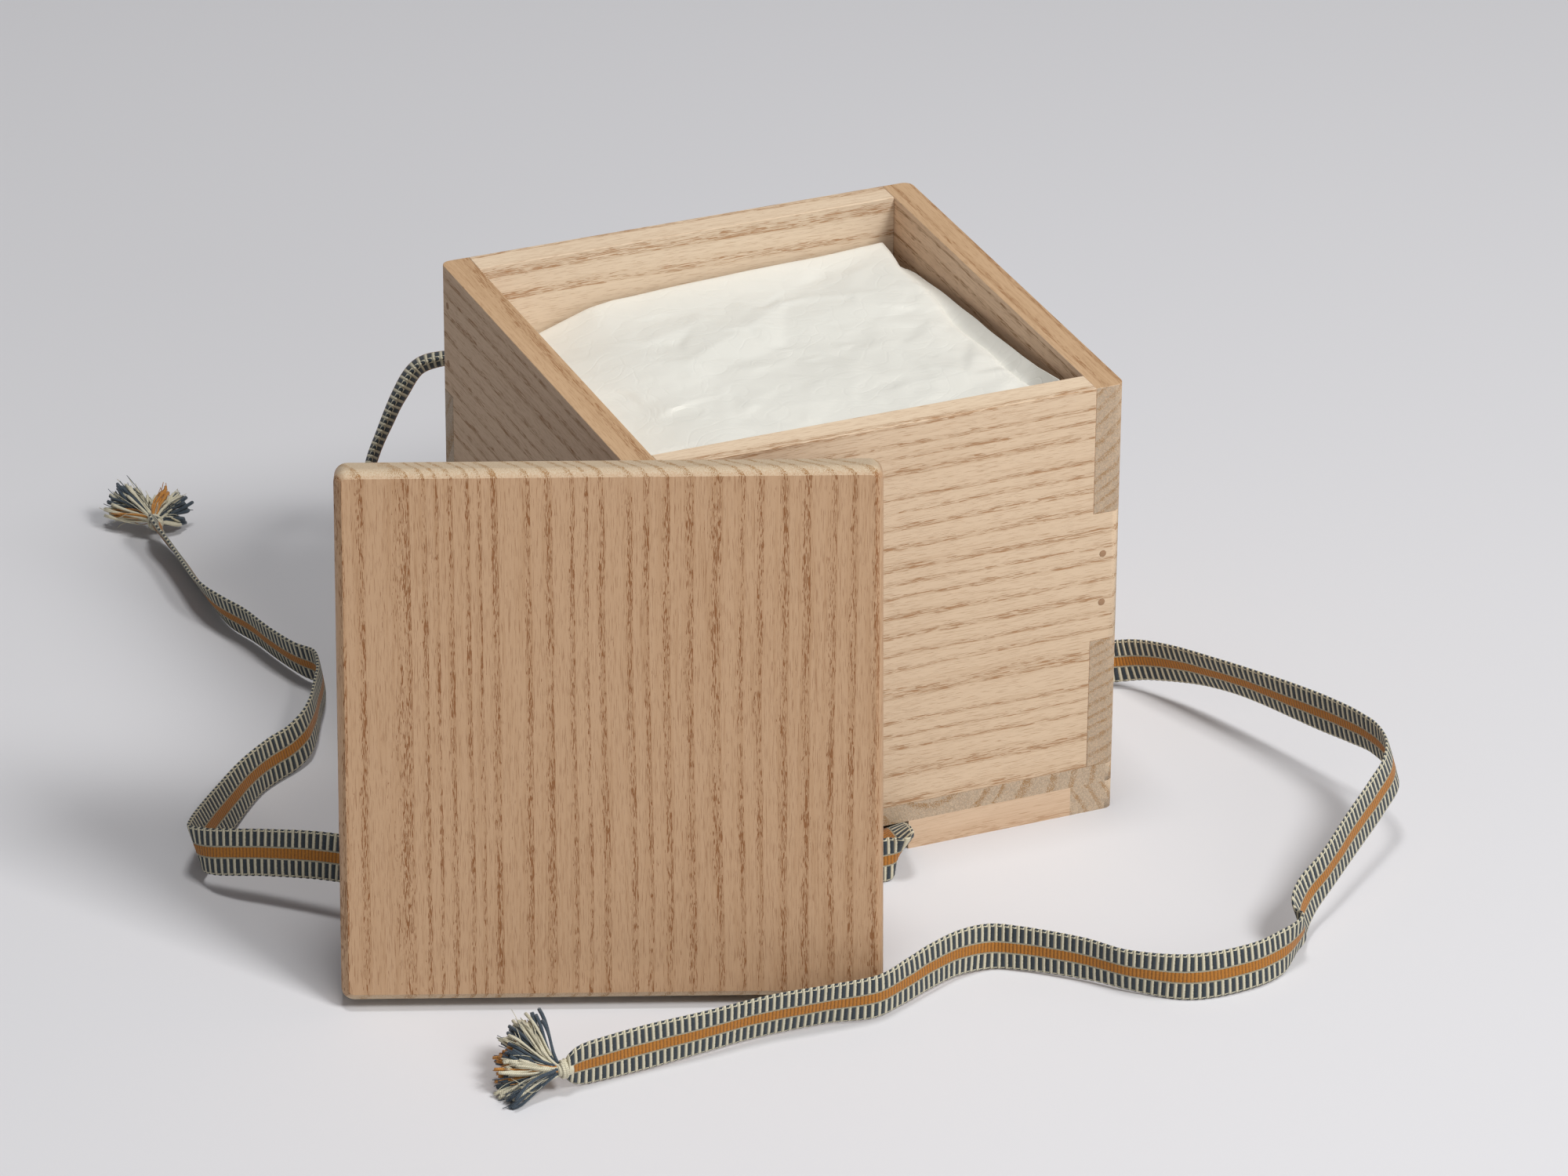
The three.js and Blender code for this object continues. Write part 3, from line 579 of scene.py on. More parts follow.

# %% [markdown]
# The pores are narrow and some millimetres long, so the noise is squeezed across the grain. A
# second, finer noise breaks them, and a few stray pores lie in the late wood too. The long fibres
# between them are fainter streaks. On the end of a board the colour turns greyer, because light
# sinks into the open ends of the fibres. One long side of each board, the top on a wall, gets a
# painted tint of light or shade, and a wall's inner face is painted lighter in place of bounced light.

# %% Pores, fibres and end grain
squeeze = put(wood, "CombineXYZ", {
    0: put(wood, "Math", {0: 1.0, 1: take["Pore Length"]}, operation="DIVIDE"), 1: 4.4, 2: 4.4})
patches = (moved.stretch((0.055, 0.5, 0.5)).noise(1.0, 1.0) - 0.5) * 0.35
crowd = moved.stretch(squeeze).noise(1.0, 1.0) + patches - (1.0 - early) * 0.24
end_facing = put(wood, "SeparateXYZ", {0: take["Facing"]})
end_share = end_facing.work("ABSOLUTE").ramp(0.35, 0.9)
open_pores = (crowd + end_share * 0.05).ramp(0.53, 0.575)
stray = moved.stretch((0.22, 5.2, 5.2)).noise(1.0, 1.0).ramp(0.57, 0.68, 0.0, 0.5)
pores = open_pores.work("MAXIMUM", stray) * take["Pore Strength"]
fibre = moved.stretch((0.035, 1.5, 1.5)).noise(1.0, 3.0, 0.6)
cloud = slow.noise(1.7)
tone = season.ramp(0.0, 0.75, 1.0, 0.0) * 0.55 + (fibre - 0.5) * 2.2 + (cloud - 0.5)
ripple = moved.stretch((0.3, 2.4, 2.4)).noise(1.0, 3.0, 0.65).ramp(0.35, 0.68, 0.0, 0.62)
face_colour, end_colour = tone.blend(take["Light"], take["Deep"]), ripple.blend(take["End"], take["Light"])
body_colour = end_share.blend(face_colour, end_colour)
# Painted light and shade: the edge tint lightens or darkens one long side of the board, and the inner tint
# lightens a wall's inner face in place of bounced light.
for share, socket in ((end_facing.beside(1).ramp(0.5, 0.95), "Edge Painted Shading"),
                      (end_facing.beside(2).ramp(-0.5, -0.95), "Inner Painted Light")):
    tinted = put(wood, "Mix", {0: 1.0, 6: body_colour, 7: take[socket]}, 2, data_type="RGBA",
                 blend_type="MULTIPLY")
    body_colour = share.blend(body_colour, tinted)
wire(give, {"Color": pores.blend(body_colour, end_share.blend(take["Pore"], take["End Pore"])),
            "Height": pores * -1.0 + fibre * 0.35, "Roughness": pores * 0.25 + 0.56})
print("the wood group has", len(wood.nodes), "nodes")

# %% [markdown]
# Every board is cut from another place in the tree, so each gets its own material: the same
# group with its own pith, ring width and colours. A board's object keeps its own axes, X along
# the grain and Z out of its face, and the wood is worked out in these, so it moves with the board.

# %% Wood finishes
# The edge tints are painted light and shade: lighter on the front and back walls, the bottom, the feet and
# the lid, darker on the side walls.
box_tones = {"Light": (0.70, 0.53, 0.365), "Deep": (0.60, 0.43, 0.28), "Pore": (0.36, 0.18, 0.075),
             "End": (0.415, 0.325, 0.235), "End Pore": (0.35, 0.19, 0.07), "Edge Painted Shading": (1.08, 1.12, 1.16)}
side_tones = {**box_tones, "Light": (0.67, 0.475, 0.31), "Deep": (0.55, 0.365, 0.22),
              "Pore": (0.31, 0.15, 0.06), "Edge Painted Shading": (0.85, 0.79, 0.7)}
lid_tones = {"Light": (0.495, 0.315, 0.185), "Deep": (0.415, 0.245, 0.13), "Pore": (0.24, 0.1, 0.035),
             "End": (0.61, 0.505, 0.36), "End Pore": (0.36, 0.2, 0.08), "Edge Painted Shading": (1.38, 1.4, 1.42)}
runner_tones = {**box_tones, "Light": (0.67, 0.49, 0.335), "Deep": (0.58, 0.40, 0.26)}
# The inner tints are painted light: they lighten each wall's inner face in place of light bounced round
# inside the box.
inner_painted_light = {"front": (1.1, 1.12, 1.18), "back": (1.0, 1.06, 1.14), "right": (1.22, 1.24, 1.32),
               "left": (1.15, 1.18, 1.24)}


def wood_finish(name, pith, ring_width, tones, wander=3.0, pore_strength=0.8, pore_length=4.5):
    finish, tree, shader = new_finish(name, Specular_IOR_Level=0.3)
    spot = put(tree, "TexCoord", output="Object")
    grain = put(tree, "Group", {
        "Place": spot.stretch((1 / mm,) * 3), "Facing": spot.beside("Normal"), "Pith": pith,
        "Ring Width": ring_width, "Wander": wander, "Pore Strength": pore_strength,
        "Pore Length": pore_length, "Inner Painted Light": (1, 1, 1), **tones}, node_tree=wood)
    wire(shader, {"Base Color": grain, "Roughness": grain.beside("Roughness"),
                  "Normal": grain.beside("Height").bump(0.5, 0.00012)})
    return finish


print("wood tones:", sorted(box_tones))

# %% [markdown]
# A wall is one flat outline with fingers at its ends, made thick. In mesh code that is one
# many-sided face and its copy, joined all round. Then its outer corners are rounded like the
# box's, and every sharp edge is eased by a fraction of a millimetre, as sandpaper does: without
# that, edges catch no light and look like paper. The wide faces are shaded flat and only the
# narrow eased ones smooth, which keeps the arrises crisp.

# %% Board helper
sharp_angle, narrow_face = 0.5, 0.6 * mm


def place_of(origin, x, y, z):
    turned = Matrix([(x.x, y.x, z.x, 0), (x.y, y.y, z.y, 0), (x.z, y.z, z.z, 0), (0, 0, 0, 1)])
    return Matrix.Translation(origin) @ turned


def round_off(shape, edges, radius, segments, clamped):
    bmesh.ops.bevel(shape, geom=edges, offset=radius * mm, segments=segments, profile=0.5, affect="EDGES",
                    clamp_overlap=clamped)


def make_board(name, outline, low, high, place, finish, body, nodes, eased=0.22, round_edges=None):
    shape = bmesh.new()
    sheets = [[shape.verts.new((x * mm, y * mm, z * mm)) for x, y in outline] for z in (low, high)]
    shape.faces.new(sheets[0][::-1])
    shape.faces.new(sheets[1])
    for i in range(len(outline)):
        j = (i + 1) % len(outline)
        shape.faces.new((sheets[0][i], sheets[0][j], sheets[1][j], sheets[1][i]))
    if round_edges:
        picked = [e for e in shape.edges if round_edges(*(v.co / mm for v in e.verts))]
        round_off(shape, picked, corner_radius, 8, False)
    sharp = [e for e in shape.edges if len(e.link_faces) == 2 and e.calc_face_angle(0) > sharp_angle]
    round_off(shape, sharp, eased, 2, True)
    bmesh.ops.recalc_face_normals(shape, faces=shape.faces)
    for face in shape.faces:
        face.smooth = face.calc_area() / face.calc_perimeter() < narrow_face
    mesh = bpy.data.meshes.new(name)
    shape.to_mesh(mesh)
    shape.free()
    mesh.materials.append(finish)
    board = add_object(name, mesh, place)
    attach(board, body)
    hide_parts(*nodes)
    return board


def standing(along, outward, out=0.0):
    x, z = Vector(along), Vector(outward)
    return place_of(box_middle + z * out * mm, x, z.cross(x), z)


def square(x0, x1, y0, y1, corners=(), radius=corner_radius):
    outline = []
    for x, y, turn in ((x0, y0, 2), (x1, y0, 3), (x1, y1, 0), (x0, y1, 1)):
        if (x, y) in corners:
            cx = x - math.copysign(radius, x - (x0 + x1) / 2)
            cy = y - math.copysign(radius, y - (y0 + y1) / 2)
            outline += [(cx + radius * math.cos(a), cy + radius * math.sin(a))
                        for a in ((turn + i / 8) * math.pi / 2 for i in range(9))]
        else:
            outline.append((x, y))
    return outline


print("a rounded square has", len(square(-75, 75, -75, 75, [(75, 75)])), "points")

# %% [markdown]
# Now the walls. The front and back walls carry the middle finger, the side walls the top and
# bottom ones. Each wall's face lies in its object's X and Y, and its thickness goes inwards.

# %% Walls
inside = half_side - wall_thickness
wall_faces = {
    "front": ((1, 0, 0), (0, -1, 0)), "back": ((-1, 0, 0), (0, 1, 0)),
    "right": ((0, 1, 0), (1, 0, 0)), "left": ((0, -1, 0), (-1, 0, 0))}
wall_pith = {"front": (0, -58, -96), "back": (0, 20, -118), "right": (0, 194, -60), "left": (0, -40, -84)}
wall_rings = {"front": 4.7, "back": 7.5, "right": 3.8, "left": 4.8}


def wall_outline(reaches):
    z = finger_heights
    side = [(reaches[0], z[0]), (reaches[0], z[1]), (reaches[1], z[1]), (reaches[1], z[2]),
            (reaches[2], z[2]), (reaches[2], z[3])]
    return side + [(-x, y) for x, y in reversed(side)]


def outer_corner(a, b):
    return a.x * b.x > 0 and all(abs(abs(p.x) - half_side) < 0.01 and abs(p.z) < 0.01 for p in (a, b))


wall_pieces = {}
for face, (along, outward) in wall_faces.items():
    middle_finger = face in ("front", "back")
    reaches = (inside, half_side, inside) if middle_finger else (half_side, inside, half_side)
    tones = {**(box_tones if middle_finger else side_tones), "Inner Painted Light": inner_painted_light[face]}
    finish = wood_finish(f"wood_{face}_wall", wall_pith[face], wall_rings[face], tones)
    wall_pieces[face] = make_board(f"board_{face}", wall_outline(reaches), -wall_thickness, 0,
                                   standing(along, outward, half_side), finish, "box", [f"wall_{face}"],
                                   round_edges=outer_corner)
print({face: len(piece.data.polygons) for face, piece in wall_pieces.items()})

# %% [markdown]
# The bottom board runs from front to back, so its end grain shows below the front wall. The feet
# are low runners. Those at the sides reach the corners, and the front and back ones butt between.

# %% Bottom board and feet
foot_height, foot_width, slot_half = 9.1, 14.0, 9.75
whole = [(x, y) for x in (-half_side, half_side) for y in (-half_side, half_side)]
bottom_finish = wood_finish("wood_bottom", (0, -17, 24), 6.5, box_tones, 2.0, 0.9)
grain_back, grain_across = standing((0, 1, 0), (0, 0, 1)), standing((1, 0, 0), (0, 0, 1))
bottom = make_board("board_bottom", square(-half_side, half_side, -half_side, half_side, whole), foot_height,
                    wall_foot, grain_back, bottom_finish, "box", ["bottom_board"])
runner_finish = wood_finish("wood_runner", (0, -31, -22), 9.5, runner_tones, 3.0, 0.45)
side_finish = wood_finish("wood_side_runner", (0, -25, -20), 4.5, box_tones)
foot_inner = half_side - foot_width
feet = []
for side, sign in (("left", 1), ("right", -1)):
    for end, way in (("front", -1), ("back", 1)):
        ys = sorted((sign * foot_inner, sign * half_side))
        xs = sorted((way * slot_half, way * half_side))
        corner = [(way * half_side, sign * half_side)]
        feet.append(make_board(f"runner_{side}_{end}", square(*xs, *ys, corner), 0.0, foot_height,
                               grain_back, side_finish, "box", [f"foot_{side}_{end}"], eased=0.4))
for end, sign in (("front", -1), ("back", 1)):
    for side, way in (("left", -1), ("right", 1)):
        ys = sorted((sign * foot_inner, sign * half_side))
        xs = sorted((way * slot_half, way * foot_inner))
        feet.append(make_board(f"runner_{end}_{side}", square(*xs, *ys), 0.0, foot_height,
                               grain_across, runner_finish, "box", [f"foot_{end}_{side}"], eased=0.4))
print(len(feet), "runners")

# %% [markdown]
# The pegs are slips of hard wood, driven in and planed flush, and they show as small brown dots
# with a dark seam. A peg's end stands a few hundredths of a millimetre proud, which is enough to
# keep it from flickering with the wall, and a thin dark ring round it is the seam.

# %% Pegs
peg_radius, wall_peg_length, lid_peg_length, seam_width, seam_depth = 1.05, 20, 18, 0.1, 0.2
peg_finish, peg_tree, peg_shader = new_finish("peg_wood", 0.7, Specular_IOR_Level=0.25)
peg_spots = put(peg_tree, "TexCoord", output="Object").noise(2600.0, 3.0)
wire(peg_shader, {"Base Color": peg_spots.blend((0.46, 0.29, 0.17), (0.27, 0.15, 0.08))})
seam_finish = new_finish("peg_seam", 0.9, Base_Color=(0.27, 0.16, 0.09))[0]


def peg_tube(start, inward, length, radius=peg_radius, sides=20):
    way = Vector(inward)
    side = way.orthogonal().normalized()
    other = way.cross(side)
    rings = []
    for far, wide in ((-0.05, 0.86), (-0.03, 0.96), (0.05, 1.0), (length, 1.0)):
        ring = [Vector(start) + way * far + (side * math.cos(a) + other * math.sin(a)) * radius * wide
                for a in (i * 2 * math.pi / sides for i in range(sides))]
        rings.append([tuple(p) for p in ring])
    return np.array(rings)


def make_pegs(name, starts, inwards, length, place, body, nodes):
    for part_name, radius, sink, finish, deep in (
            ("", peg_radius, 0.0, peg_finish, length),
            ("_seams", peg_radius + seam_width, 0.035, seam_finish, seam_depth)):
        tubes = [peg_tube(Vector(s) + Vector(w) * sink, w, deep, radius) for s, w in zip(starts, inwards)]
        points, faces, flow = join_tubes(tubes)
        piece = make_piece(name + part_name, points, faces, finish, place=place)
        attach(piece, body)
        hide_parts(*nodes)
    print(name, len(starts), "pegs")


starts, inwards, names = [], [], []
for face, (along, outward) in wall_faces.items():
    z, middle_finger = finger_heights, face in ("front", "back")
    rows = [(z[1], z[2])] if middle_finger else [(z[0], z[1]), (z[2], z[3])]
    shares = (0.297, 0.68) if middle_finger else (0.24, 0.707)
    spots = [(low + share * (high - low), across_wall) for low, high in rows
             for share in shares for across_wall in (-69.3, 69.3)]
    for number, (height, across_wall) in enumerate(spots, 1):
        at = Vector(along) * across_wall + Vector(outward) * half_side
        starts.append(at + Vector((0, 0, height)))
        inwards.append(-Vector(outward))
        names.append(f"peg_{face}_{number}")
make_pegs("wall_pegs", starts, inwards, wall_peg_length, Matrix.Translation(box_middle), "box", names)

# %% [markdown]
# The lid leans back until its upper batten touches the box's nearest corner. The batten's outer
# back edge is `arris_up` above the lid's foot and `arris_out` behind it, and the corner is a known
# distance away, so the lean follows from one triangle, as it does on the real object.

# %% Where the lid stands
lid_turn = math.radians(21.38)
lid_aside, lid_ahead = 6.94, 46.31
batten_depth, batten_height, batten_edge, seat = 12.0, 14.0, 10.0, 0.3
backward = Vector((math.sin(lid_turn), math.cos(lid_turn), 0))
sideways = Vector((math.cos(lid_turn), -math.sin(lid_turn), 0))
lid_foot = Vector((-half_side, -half_side, 0)) - sideways * lid_aside - backward * lid_ahead
touch = Vector((corner_radius - half_side, corner_radius - half_side, 0)) - backward * corner_radius
arris_up, arris_out = 2 * half_side - batten_edge, batten_depth + seat
reach = (touch - lid_foot).dot(backward) - seat
lean = math.asin(reach / math.hypot(arris_up, arris_out)) - math.atan2(arris_out, arris_up)
lid_up = Vector((0, 0, math.cos(lean))) + backward * math.sin(lean)
lid_out = Vector((0, 0, math.sin(lean))) - backward * math.cos(lean)
lid_origin = box_middle + lid_foot * mm
lid_place = place_of(lid_origin, lid_up, -sideways, lid_out)
batten_place = place_of(lid_origin, sideways, lid_up, lid_out)
print("the lid leans back", round(math.degrees(lean), 2), "degrees")

# %% [markdown]
# The lid board is one plank with its grain upright. Its face is eased all round with a curve that
# ends in a crisp line, so the board is built in layers: rounded squares that shrink towards the
# face. The two battens behind it are plain bars, and pegs hold them.

# %% Lid
lid_thickness, lid_radius, ease_width, ease_depth = 12.0, 3.6, 2.2, 4.0
ease_curve = [(0, 0), (0.05, 0.22), (0.16, 0.42), (0.32, 0.6), (0.5, 0.75), (0.75, 0.89), (1, 1)]
lid_finish = wood_finish("wood_lid", (0, -165, -105), 4.6, lid_tones, 4.0, 0.95, 2.2)


def lid_layer(inset, z):
    low, high, side = inset, 2 * half_side - inset, half_side - inset
    spots = [(x, y) for x in (low, high) for y in (-side, side)]
    return [(x, y, z) for x, y in square(low, high, -side, side, spots, lid_radius - inset)]


layers = [lid_layer(0.35, 0.0), lid_layer(0.1, 0.1), lid_layer(0, 0.35)]
layers += [lid_layer(inset * ease_width, lid_thickness - ease_depth * (1 - up)) for inset, up in ease_curve]
lid_points = np.array(layers)
lid_faces = loft_faces(*lid_points.shape[:2])
lid_board = make_piece("lid_plank", lid_points.reshape(-1, 3), lid_faces, lid_finish, place=lid_place)
lid_board.data.set_sharp_from_angle(angle=math.radians(25))
lid_board.modifiers.new("even shading", "WEIGHTED_NORMAL").keep_sharp = True
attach(lid_board, "lid")
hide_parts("lid_board")

batten_finish = wood_finish("wood_batten", (0, -48, -66), 6.0, lid_tones)
batten_half, batten_back = 65, -seat - batten_depth
batten_lows = {"lower": batten_edge, "upper": 2 * half_side - batten_edge - batten_height}
for name, low in batten_lows.items():
    outline = square(-batten_half, batten_half, low, low + batten_height)
    bar = make_board(f"batten_{name}", outline, batten_back, -0.02, batten_place, batten_finish, "lid",
                     [f"lid_batten_{name}"], eased=0.5)
starts = [(x, low + batten_height / 2, batten_back) for low in batten_lows.values() for x in (-43, 0, 43)]
make_pegs("lid_pegs", starts, [(0, 0, 1)] * 6, lid_peg_length, batten_place, "lid",
          [f"lid_peg_{i}" for i in range(1, 7)])

# %% [markdown]
# The box is packed with thin ivory paper. Crumpled paper is nearly flat between sharp creases,
# because it bends but doesn't stretch. That is what a net of triangles over random points looks
# like, so three such nets, from coarse to fine, are laid over the soft slope of the bundle and
# their heights are read off with rays from above.

# %% Crease nets
def crease_net(count, height, seed):
    wave = random.Random(seed)
    spots = [Vector((wave.uniform(-80, 80), wave.uniform(-80, 80))) for _ in range(count)]
    net = delaunay_2d_cdt(spots, [], [], 0, 0.001)
    points = [Vector((p.x, p.y, wave.uniform(-height, height))) for p in net[0]]
    tree = BVHTree.FromPolygons(points, net[2])

    def look(x, y):
        hit = tree.ray_cast(Vector((x, y, 50)), Vector((0, 0, -1)))[0]
        return hit.z if hit else 0.0
    return look


coarse = crease_net(46, 1.7, 5)
middling = crease_net(190, 0.75, 8)
fine = crease_net(700, 0.3, 11)
print("crease at the middle", round(coarse(0, 0) + middling(0, 0) + fine(0, 0), 2), "mm")

# %% [markdown]
# The upper sheet slopes down to the left and is tucked in along the walls. The heights are set
# at five by five places and blended smoothly, and the back edge is a nearly straight line with one
# folded corner.

# %% Slope of the paper
sheet_x = [-64, -32, 0, 30, 60]
sheet_y = [64, 32, 0, -32, -64]
sheet_heights = np.array([
    [111.5, 120.0, 121.0, 122.0, 124.8],
    [115.5, 121.0, 122.6, 123.8, 125.4],
    [116.5, 121.8, 123.8, 125.0, 125.2],
    [115.5, 121.0, 123.4, 124.8, 125.2],
    [113.0, 118.5, 121.4, 124.0, 126.5]])
back_edge_x = [-64.4, -48.5, -33.8, -25.9, 62.2]
back_edge_heights = [109.0, 115.0, 119.9, 121.3, 124.9]


def smooth_blend(values, w):
    k = min(int(w), len(values) - 2)
    t = w - k
    t = t * t * (3 - 2 * t) * 0.5 + t * 0.5
    return values[k] * (1 - t) + values[k + 1] * t


def sheet_top(x, y):
    u = np.interp(x, sheet_x, range(5))
    v = np.interp(-y, [-s for s in sheet_y], range(5))
    base = smooth_blend([smooth_blend(row, u) for row in sheet_heights], v)
    near_back = min(1, max(0, (y - 34) / 30)) ** 1.5
    base += near_back * (np.interp(x, back_edge_x, back_edge_heights) - base)
    calm = (0.45 + 0.55 * min(1, max(0, (x + 50) / 70))) * (1 - 0.85 * near_back)
    return base + calm * (coarse(x, y) * 0.8 + middling(x, y) + fine(x, y))


print("the paper is", round(sheet_top(0, 0), 1), "mm high at its middle")

# %% [markdown]
# The bundle is a grid of points over this slope. Its outermost rows drop a little, which rounds
# the rim, and straight sides go down to the bottom of the box.

# %% Packing paper
grid, sheet_edge, sheet_foot = 118, 64.4, 15.6
rim_drop = (2.6, 0.9, 0.25)
right_edge, edge_bow, edge_wave, edge_corner = 60.5, 1.4, 0.5, 1.7
paper_points, paper_faces = [], []
for j in range(grid + 1):
    for i in range(grid + 1):
        u, v = i / grid, j / grid
        y = sheet_edge - 2 * sheet_edge * v
        far_right = right_edge - edge_bow * math.sin(v * math.pi) + edge_wave * math.sin(v * 23)
        x = (far_right + edge_corner * max(0, 1 - v * 7) + sheet_edge) * u - sheet_edge
        edge = min(i, j, grid - i, grid - j)
        paper_points.append((x, y, sheet_top(x, y) - (rim_drop[edge] if edge < len(rim_drop) else 0.0)))
for j in range(grid):
    for i in range(grid):
        a = j * (grid + 1) + i
        paper_faces.append((a, a + grid + 1, a + grid + 2, a + 1))
rim = [i for i in range(grid + 1)] + [j * (grid + 1) + grid for j in range(1, grid + 1)]
rim += [grid * (grid + 1) + i for i in range(grid - 1, -1, -1)]
rim += [j * (grid + 1) for j in range(grid - 1, 0, -1)]
first = len(paper_points)
paper_points += [(*paper_points[k][:2], sheet_foot) for k in rim]
for n in range(len(rim)):
    m = (n + 1) % len(rim)
    paper_faces.append((rim[n], rim[m], first + m, first + n))
paper_faces.append(list(range(first, first + len(rim)))[::-1])
paper = make_piece("crumpled_paper", paper_points, paper_faces)
paper.data.set_sharp_from_angle(angle=math.radians(22))
print(len(paper.data.polygons), "faces of paper")

# %% [markdown]
# Along the right wall a second, flat fold of the paper stands up beside the first. It is a narrow
# strip whose top edge rises towards the front.

# %% Second fold
fold_back, fold_front = 50, -58
fold_y, fold_heights = [-56, -42, -20, 0, 28, 44, 50], [131.6, 129.0, 127.2, 126.0, 123.6, 121.8, 120.6]
fold_rows = []
for y in np.linspace(fold_back, fold_front, 90):
    far = (fold_back - y) / (fold_back - fold_front)
    rise = np.interp(y, fold_y, fold_heights)
    wave_x = 0.6 * math.sin(far * 9) + 0.3 * math.sin(far * 31)
    inner = sheet_top(57, y) - 1.6
    fold_rows.append([
        (54.0, y, inner - 1.0), (58.4, y, inner), (60.6 + wave_x * 0.2, y, inner * 0.55 + rise * 0.45),
        (62.9 + wave_x * 0.3, y, rise - 0.05), (63.1 + wave_x * 0.3, y, rise),
        (63.3 + wave_x * 0.3, y, rise - 0.3), (63.9, y, 100.0)])
wide = len(fold_rows[0])
fold_faces = [(k * wide + i, (k + 1) * wide + i, (k + 1) * wide + i + 1, k * wide + i + 1)
              for k in range(len(fold_rows) - 1) for i in range(wide - 1)]
paper_fold = make_piece("paper_fold", [p for row in fold_rows for p in row], fold_faces)
paper_fold.data.set_sharp_from_angle(angle=math.radians(30))
for piece in (paper, paper_fold):
    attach(piece, "packing")
    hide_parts("packing_paper")
print(len(paper_fold.data.polygons), "faces in the fold")

# %% [markdown]
# Thin paper is matt but smooth, with faint fibres and fine wrinkles that only light from the side
# shows. The wrinkles are a bump from two noises, stretched differently, and the colour stays
# nearly even.

# %% Paper finish
paper_finish, paper_tree, paper_shader = new_finish("ivory_paper", 0.55, Specular_IOR_Level=0.35)
spot = put(paper_tree, "TexCoord", output="Object")
soft = spot.noise(45.0, 3.0, 0.55)
creases = put(paper_tree, "TexVoronoi", {"Vector": spot.noise(30.0, output="Color"), "Scale": 9.0},
              "Distance", feature="DISTANCE_TO_EDGE")
wrinkle = soft * 0.6 + creases.ramp(0.0, 0.1, 0.0, 0.12)
wire(paper_shader, {"Base Color": soft.blend((0.80, 0.788, 0.72), (0.745, 0.733, 0.665)),
                    "Normal": wrinkle.bump(0.35, 0.0009)})
for piece in (paper, paper_fold):
    piece.data.materials.append(paper_finish)
print("paper is matt ivory")

# %% [markdown]
# The weave. The ribbon's flow map holds the distance along it in millimetres and the place across
# it from -1 to 1, and it runs round the selvages without a seam. Seen across, an ochre band is
# flanked by two thin cream lines, and outside them dark blue and cream bars form a ladder on each
# side, half a step apart. Each bar is a rounded rib, and the ochre band has finer ribs. Round the
# selvage the weft turns back, so there a thin cream line and small slanting beads show.

# %% Weave finish
dark_part = 0.6
ochre_border, ladder_border, line_border, selvage = (0.205, 0.22), (0.265, 0.285), (0.885, 0.9), (0.93, 0.94)
weave_finish, weave, weave_shader = new_finish("ladder_weave", 0.88, Specular_IOR_Level=0.2,
                                               Sheen_Weight=0.15)
flow = put(weave, "UVMap", uv_map="flow")
along_ribbon = put(weave, "SeparateXYZ", {0: flow})
across_ribbon = along_ribbon.beside(1)
fuzz = flow.stretch((1.9, 12.0, 0)).noise(1.0, 3.0, 0.6)
shift = fuzz - 0.5
body = across_ribbon.work("ABSOLUTE") + shift * 0.02
steps = along_ribbon / ladder_step + across_ribbon.work("GREATER_THAN") * 0.5 + shift * 0.1
bar = steps.work("FRACT")
dark_bar = bar.ramp(0.0, 0.06) * bar.ramp(0.55, 0.62, 1.0, 0.0)
ladder = body.ramp(*ladder_border)
ochre_share = body.ramp(*ochre_border, 1.0, 0.0)
bead = (steps + across_ribbon * 3.0).work("FRACT")
bead_gap = bead.ramp(0.0, 0.1) * bead.ramp(0.5, 0.6, 1.0, 0.0)
edge_line = body.ramp(*line_border) * body.ramp(*selvage, 1.0, 0.0)
dark_share = put(weave, "Mix", {0: body.ramp(*selvage), 2: dark_bar * ladder, 3: bead_gap})
print(len(weave.nodes), "nodes for the pattern")

# %% [markdown]
# The threads aren't evenly dyed, so each colour is a blend of a deeper and a lighter one. Two
# sine waves make a rib of each bar, broad for the dark ones and narrow for the cream ones, and
# the grooves between the ribs are darkened with painted shade.

# %% Colours and ribs of the weave
navy = fuzz.blend((0.014, 0.02, 0.026), (0.065, 0.08, 0.092))
cream = fuzz.blend((0.52, 0.47, 0.33), (0.76, 0.71, 0.54))
ochre = fuzz.blend((0.32, 0.118, 0.016), (0.54, 0.225, 0.042))
colour = ochre_share.blend((dark_share * (1.0 - edge_line)).blend(cream, navy), ochre)
dark_ribs = (bar.work("MINIMUM", dark_part) * (math.pi / dark_part)).work("SINE")
cream_ribs = ((bar - dark_part).work("MAXIMUM") * (math.pi / (1 - dark_part))).work("SINE")
fine_ribs = (steps * (2 * math.pi)).work("SINE").work("ABSOLUTE")
ribs = (dark_ribs + cream_ribs * 1.25) * ladder + fine_ribs * (ochre_share * 0.75) + fuzz * 0.5
# Painted shade: the grooves between the ribs are blended towards near black.
colour = ribs.ramp(0.2, 0.9, 0.5, 0.0).blend(colour, (0.03, 0.022, 0.015))
wire(weave_shader, {"Base Color": colour, "Normal": ribs.bump(0.8, 0.00028)})
for piece in ribbon_pieces.values():
    piece.data.materials.append(weave_finish)
print("ladder of", ladder_step, "mm a step")

# %% [markdown]
# Threads are twisted from finer ones. Their flow map gives the distance along and the turn
# around, so a slanting sine makes the twist, and painted shade darkens the colour a little in its grooves.

# %% Thread finishes
def thread_finish(name, deep, light):
    finish, tree, shader = new_finish(name, 0.9, Specular_IOR_Level=0.2, Sheen_Weight=0.25)
    along_thread = put(tree, "SeparateXYZ", {0: put(tree, "UVMap", uv_map="flow")})
    turn = along_thread * 0.9 + along_thread.beside(1)
    twist = (turn * (2 * math.pi)).work("SINE").work("ABSOLUTE")
    hair = put(tree, "TexCoord", output="Object").noise(900.0, 3.0)
    # Painted shade in the grooves of the twist, mixed with a fine random tone of the fibres.
    share = (twist + hair) * 0.55
    wire(shader, {"Base Color": share.blend(deep, light), "Normal": share.bump(0.6, 0.0002)})
    return finish


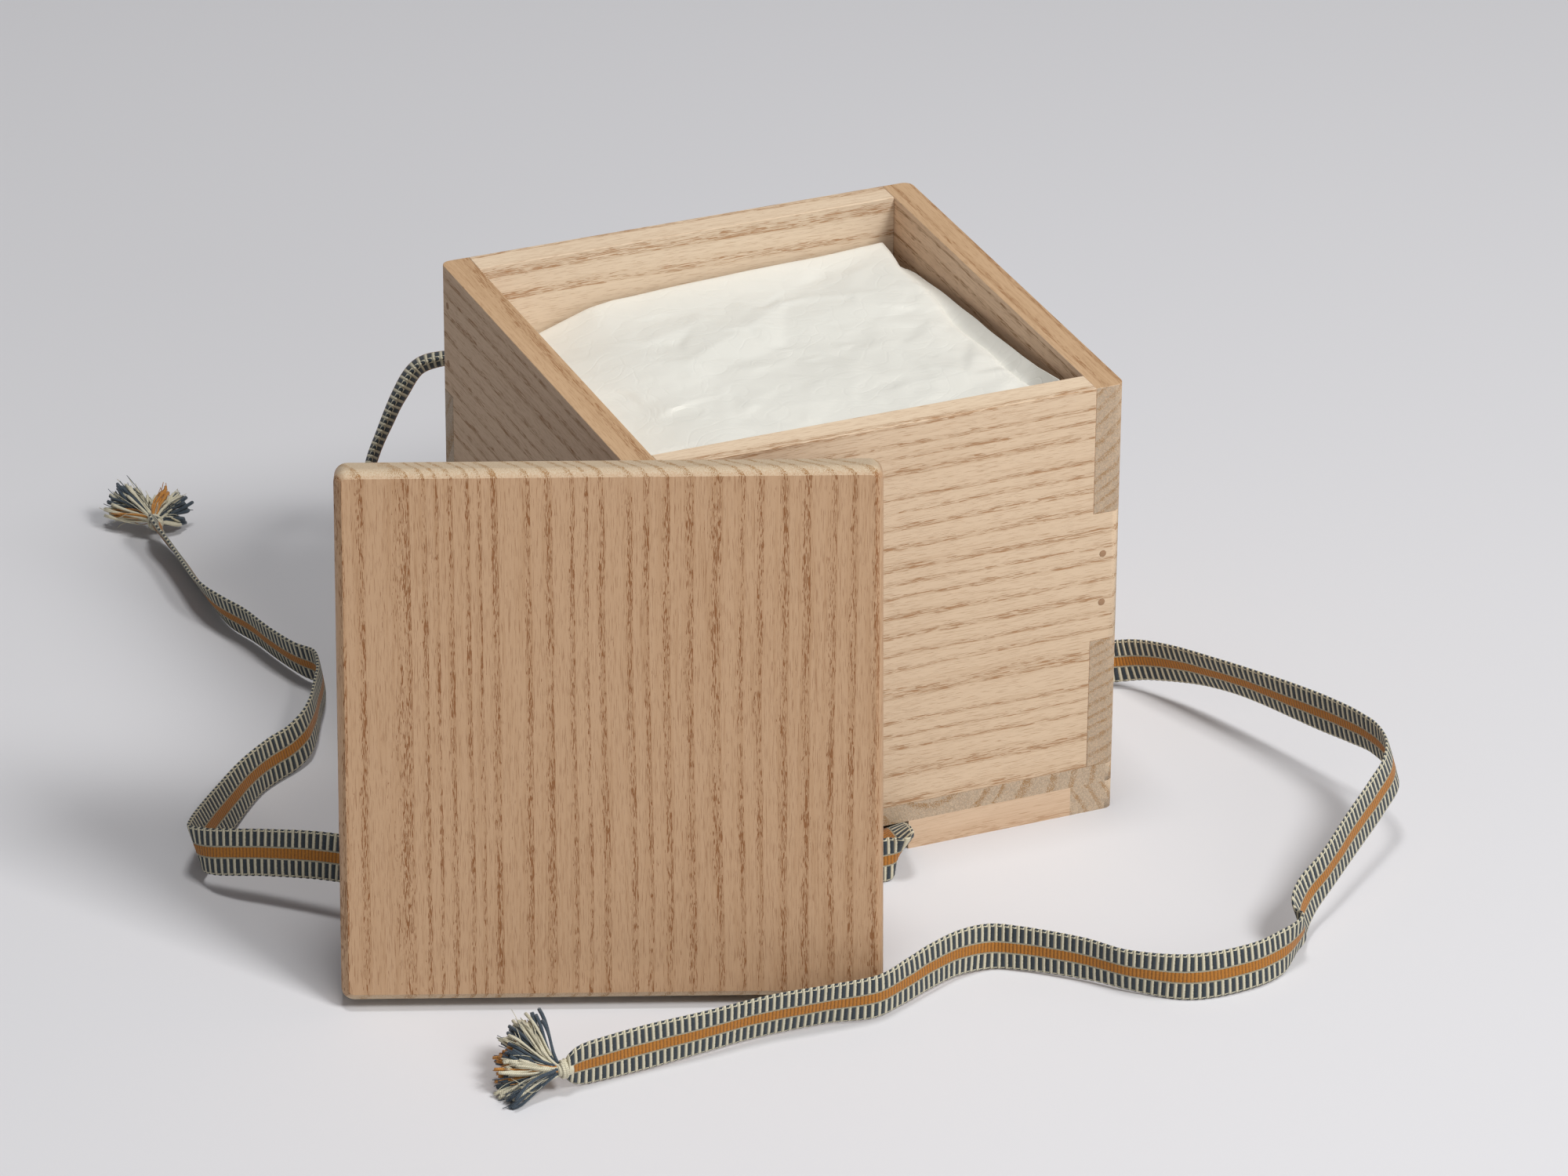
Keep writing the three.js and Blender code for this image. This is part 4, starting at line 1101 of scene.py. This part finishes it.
thread_finishes = {"navy": thread_finish("navy_thread", (0.018, 0.026, 0.036), (0.07, 0.095, 0.12)),
                   "cream": thread_finish("cream_thread", (0.40, 0.36, 0.24), (0.74, 0.69, 0.53)),
                   "ochre": thread_finish("ochre_thread", (0.28, 0.11, 0.02), (0.60, 0.27, 0.06))}
for (name, colour), piece in tassel_pieces.items():
    piece.data.materials.append(thread_finishes[colour])
for piece in binding_pieces.values():
    piece.data.materials.append(thread_finishes["cream"])
print(sorted(thread_finishes))

# %% [markdown]
# The set is a studio table: a pale, matt floor that runs far beyond the picture. A soft key lamp
# stands high in front and to the right, and the lid's shadow on the floor told its direction. A low,
# wide lamp in front fills the face of the box, and a smaller one hangs overhead and draws the narrow
# shadows straight below the ribbon. Nothing lights the left side but the pale surroundings, so that
# wall is dim but never black.

# %% Floor
floor_reach = 8
floor_mesh = bpy.data.meshes.new("studio_floor")
corners = [(x * floor_reach, y * floor_reach, 0) for x, y in ((-1, -1), (1, -1), (1, 1), (-1, 1))]
floor_mesh.from_pydata(corners, [], [(0, 1, 2, 3)])
floor = add_object("studio_floor", floor_mesh, Matrix())
floor_finish = new_finish("studio_paper", 0.8, Specular_IOR_Level=0.1, Base_Color=(0.70, 0.695, 0.71))[0]
floor_mesh.materials.append(floor_finish)
print("floor of", 2 * floor_reach, "m")

# %% Lamps and surroundings
def soft_lamp(name, place, size, power):
    light = bpy.data.lights.new(name, "AREA")
    light.shape = "RECTANGLE"
    light.size, light.size_y = size
    light.energy = power
    lamp = add_object(name, light, Matrix.Translation(place))
    lamp.rotation_euler = (lit_place - Vector(place)).to_track_quat("-Z", "Y").to_euler()
    print(name, power, "W")


lit_place = Vector((0, 0, 0.05))
soft_lamp("key lamp", (0.77, -1.39, 1.79), (0.65, 0.65), 37)
soft_lamp("front lamp", (0.2, -2.5, 0.8), (1.8, 0.9), 12.5)
soft_lamp("top lamp", (0.0, 0.0, 2.3), (0.45, 0.45), 17)
world = bpy.data.worlds.new("studio")
bpy.context.scene.world = world
world.use_nodes = True
surroundings = world.node_tree.nodes["Background"].inputs
fill(surroundings["Color"], (0.93, 0.94, 1.0))
fill(surroundings["Strength"], 0.16)
bpy.context.scene.view_settings.view_transform = "Standard"
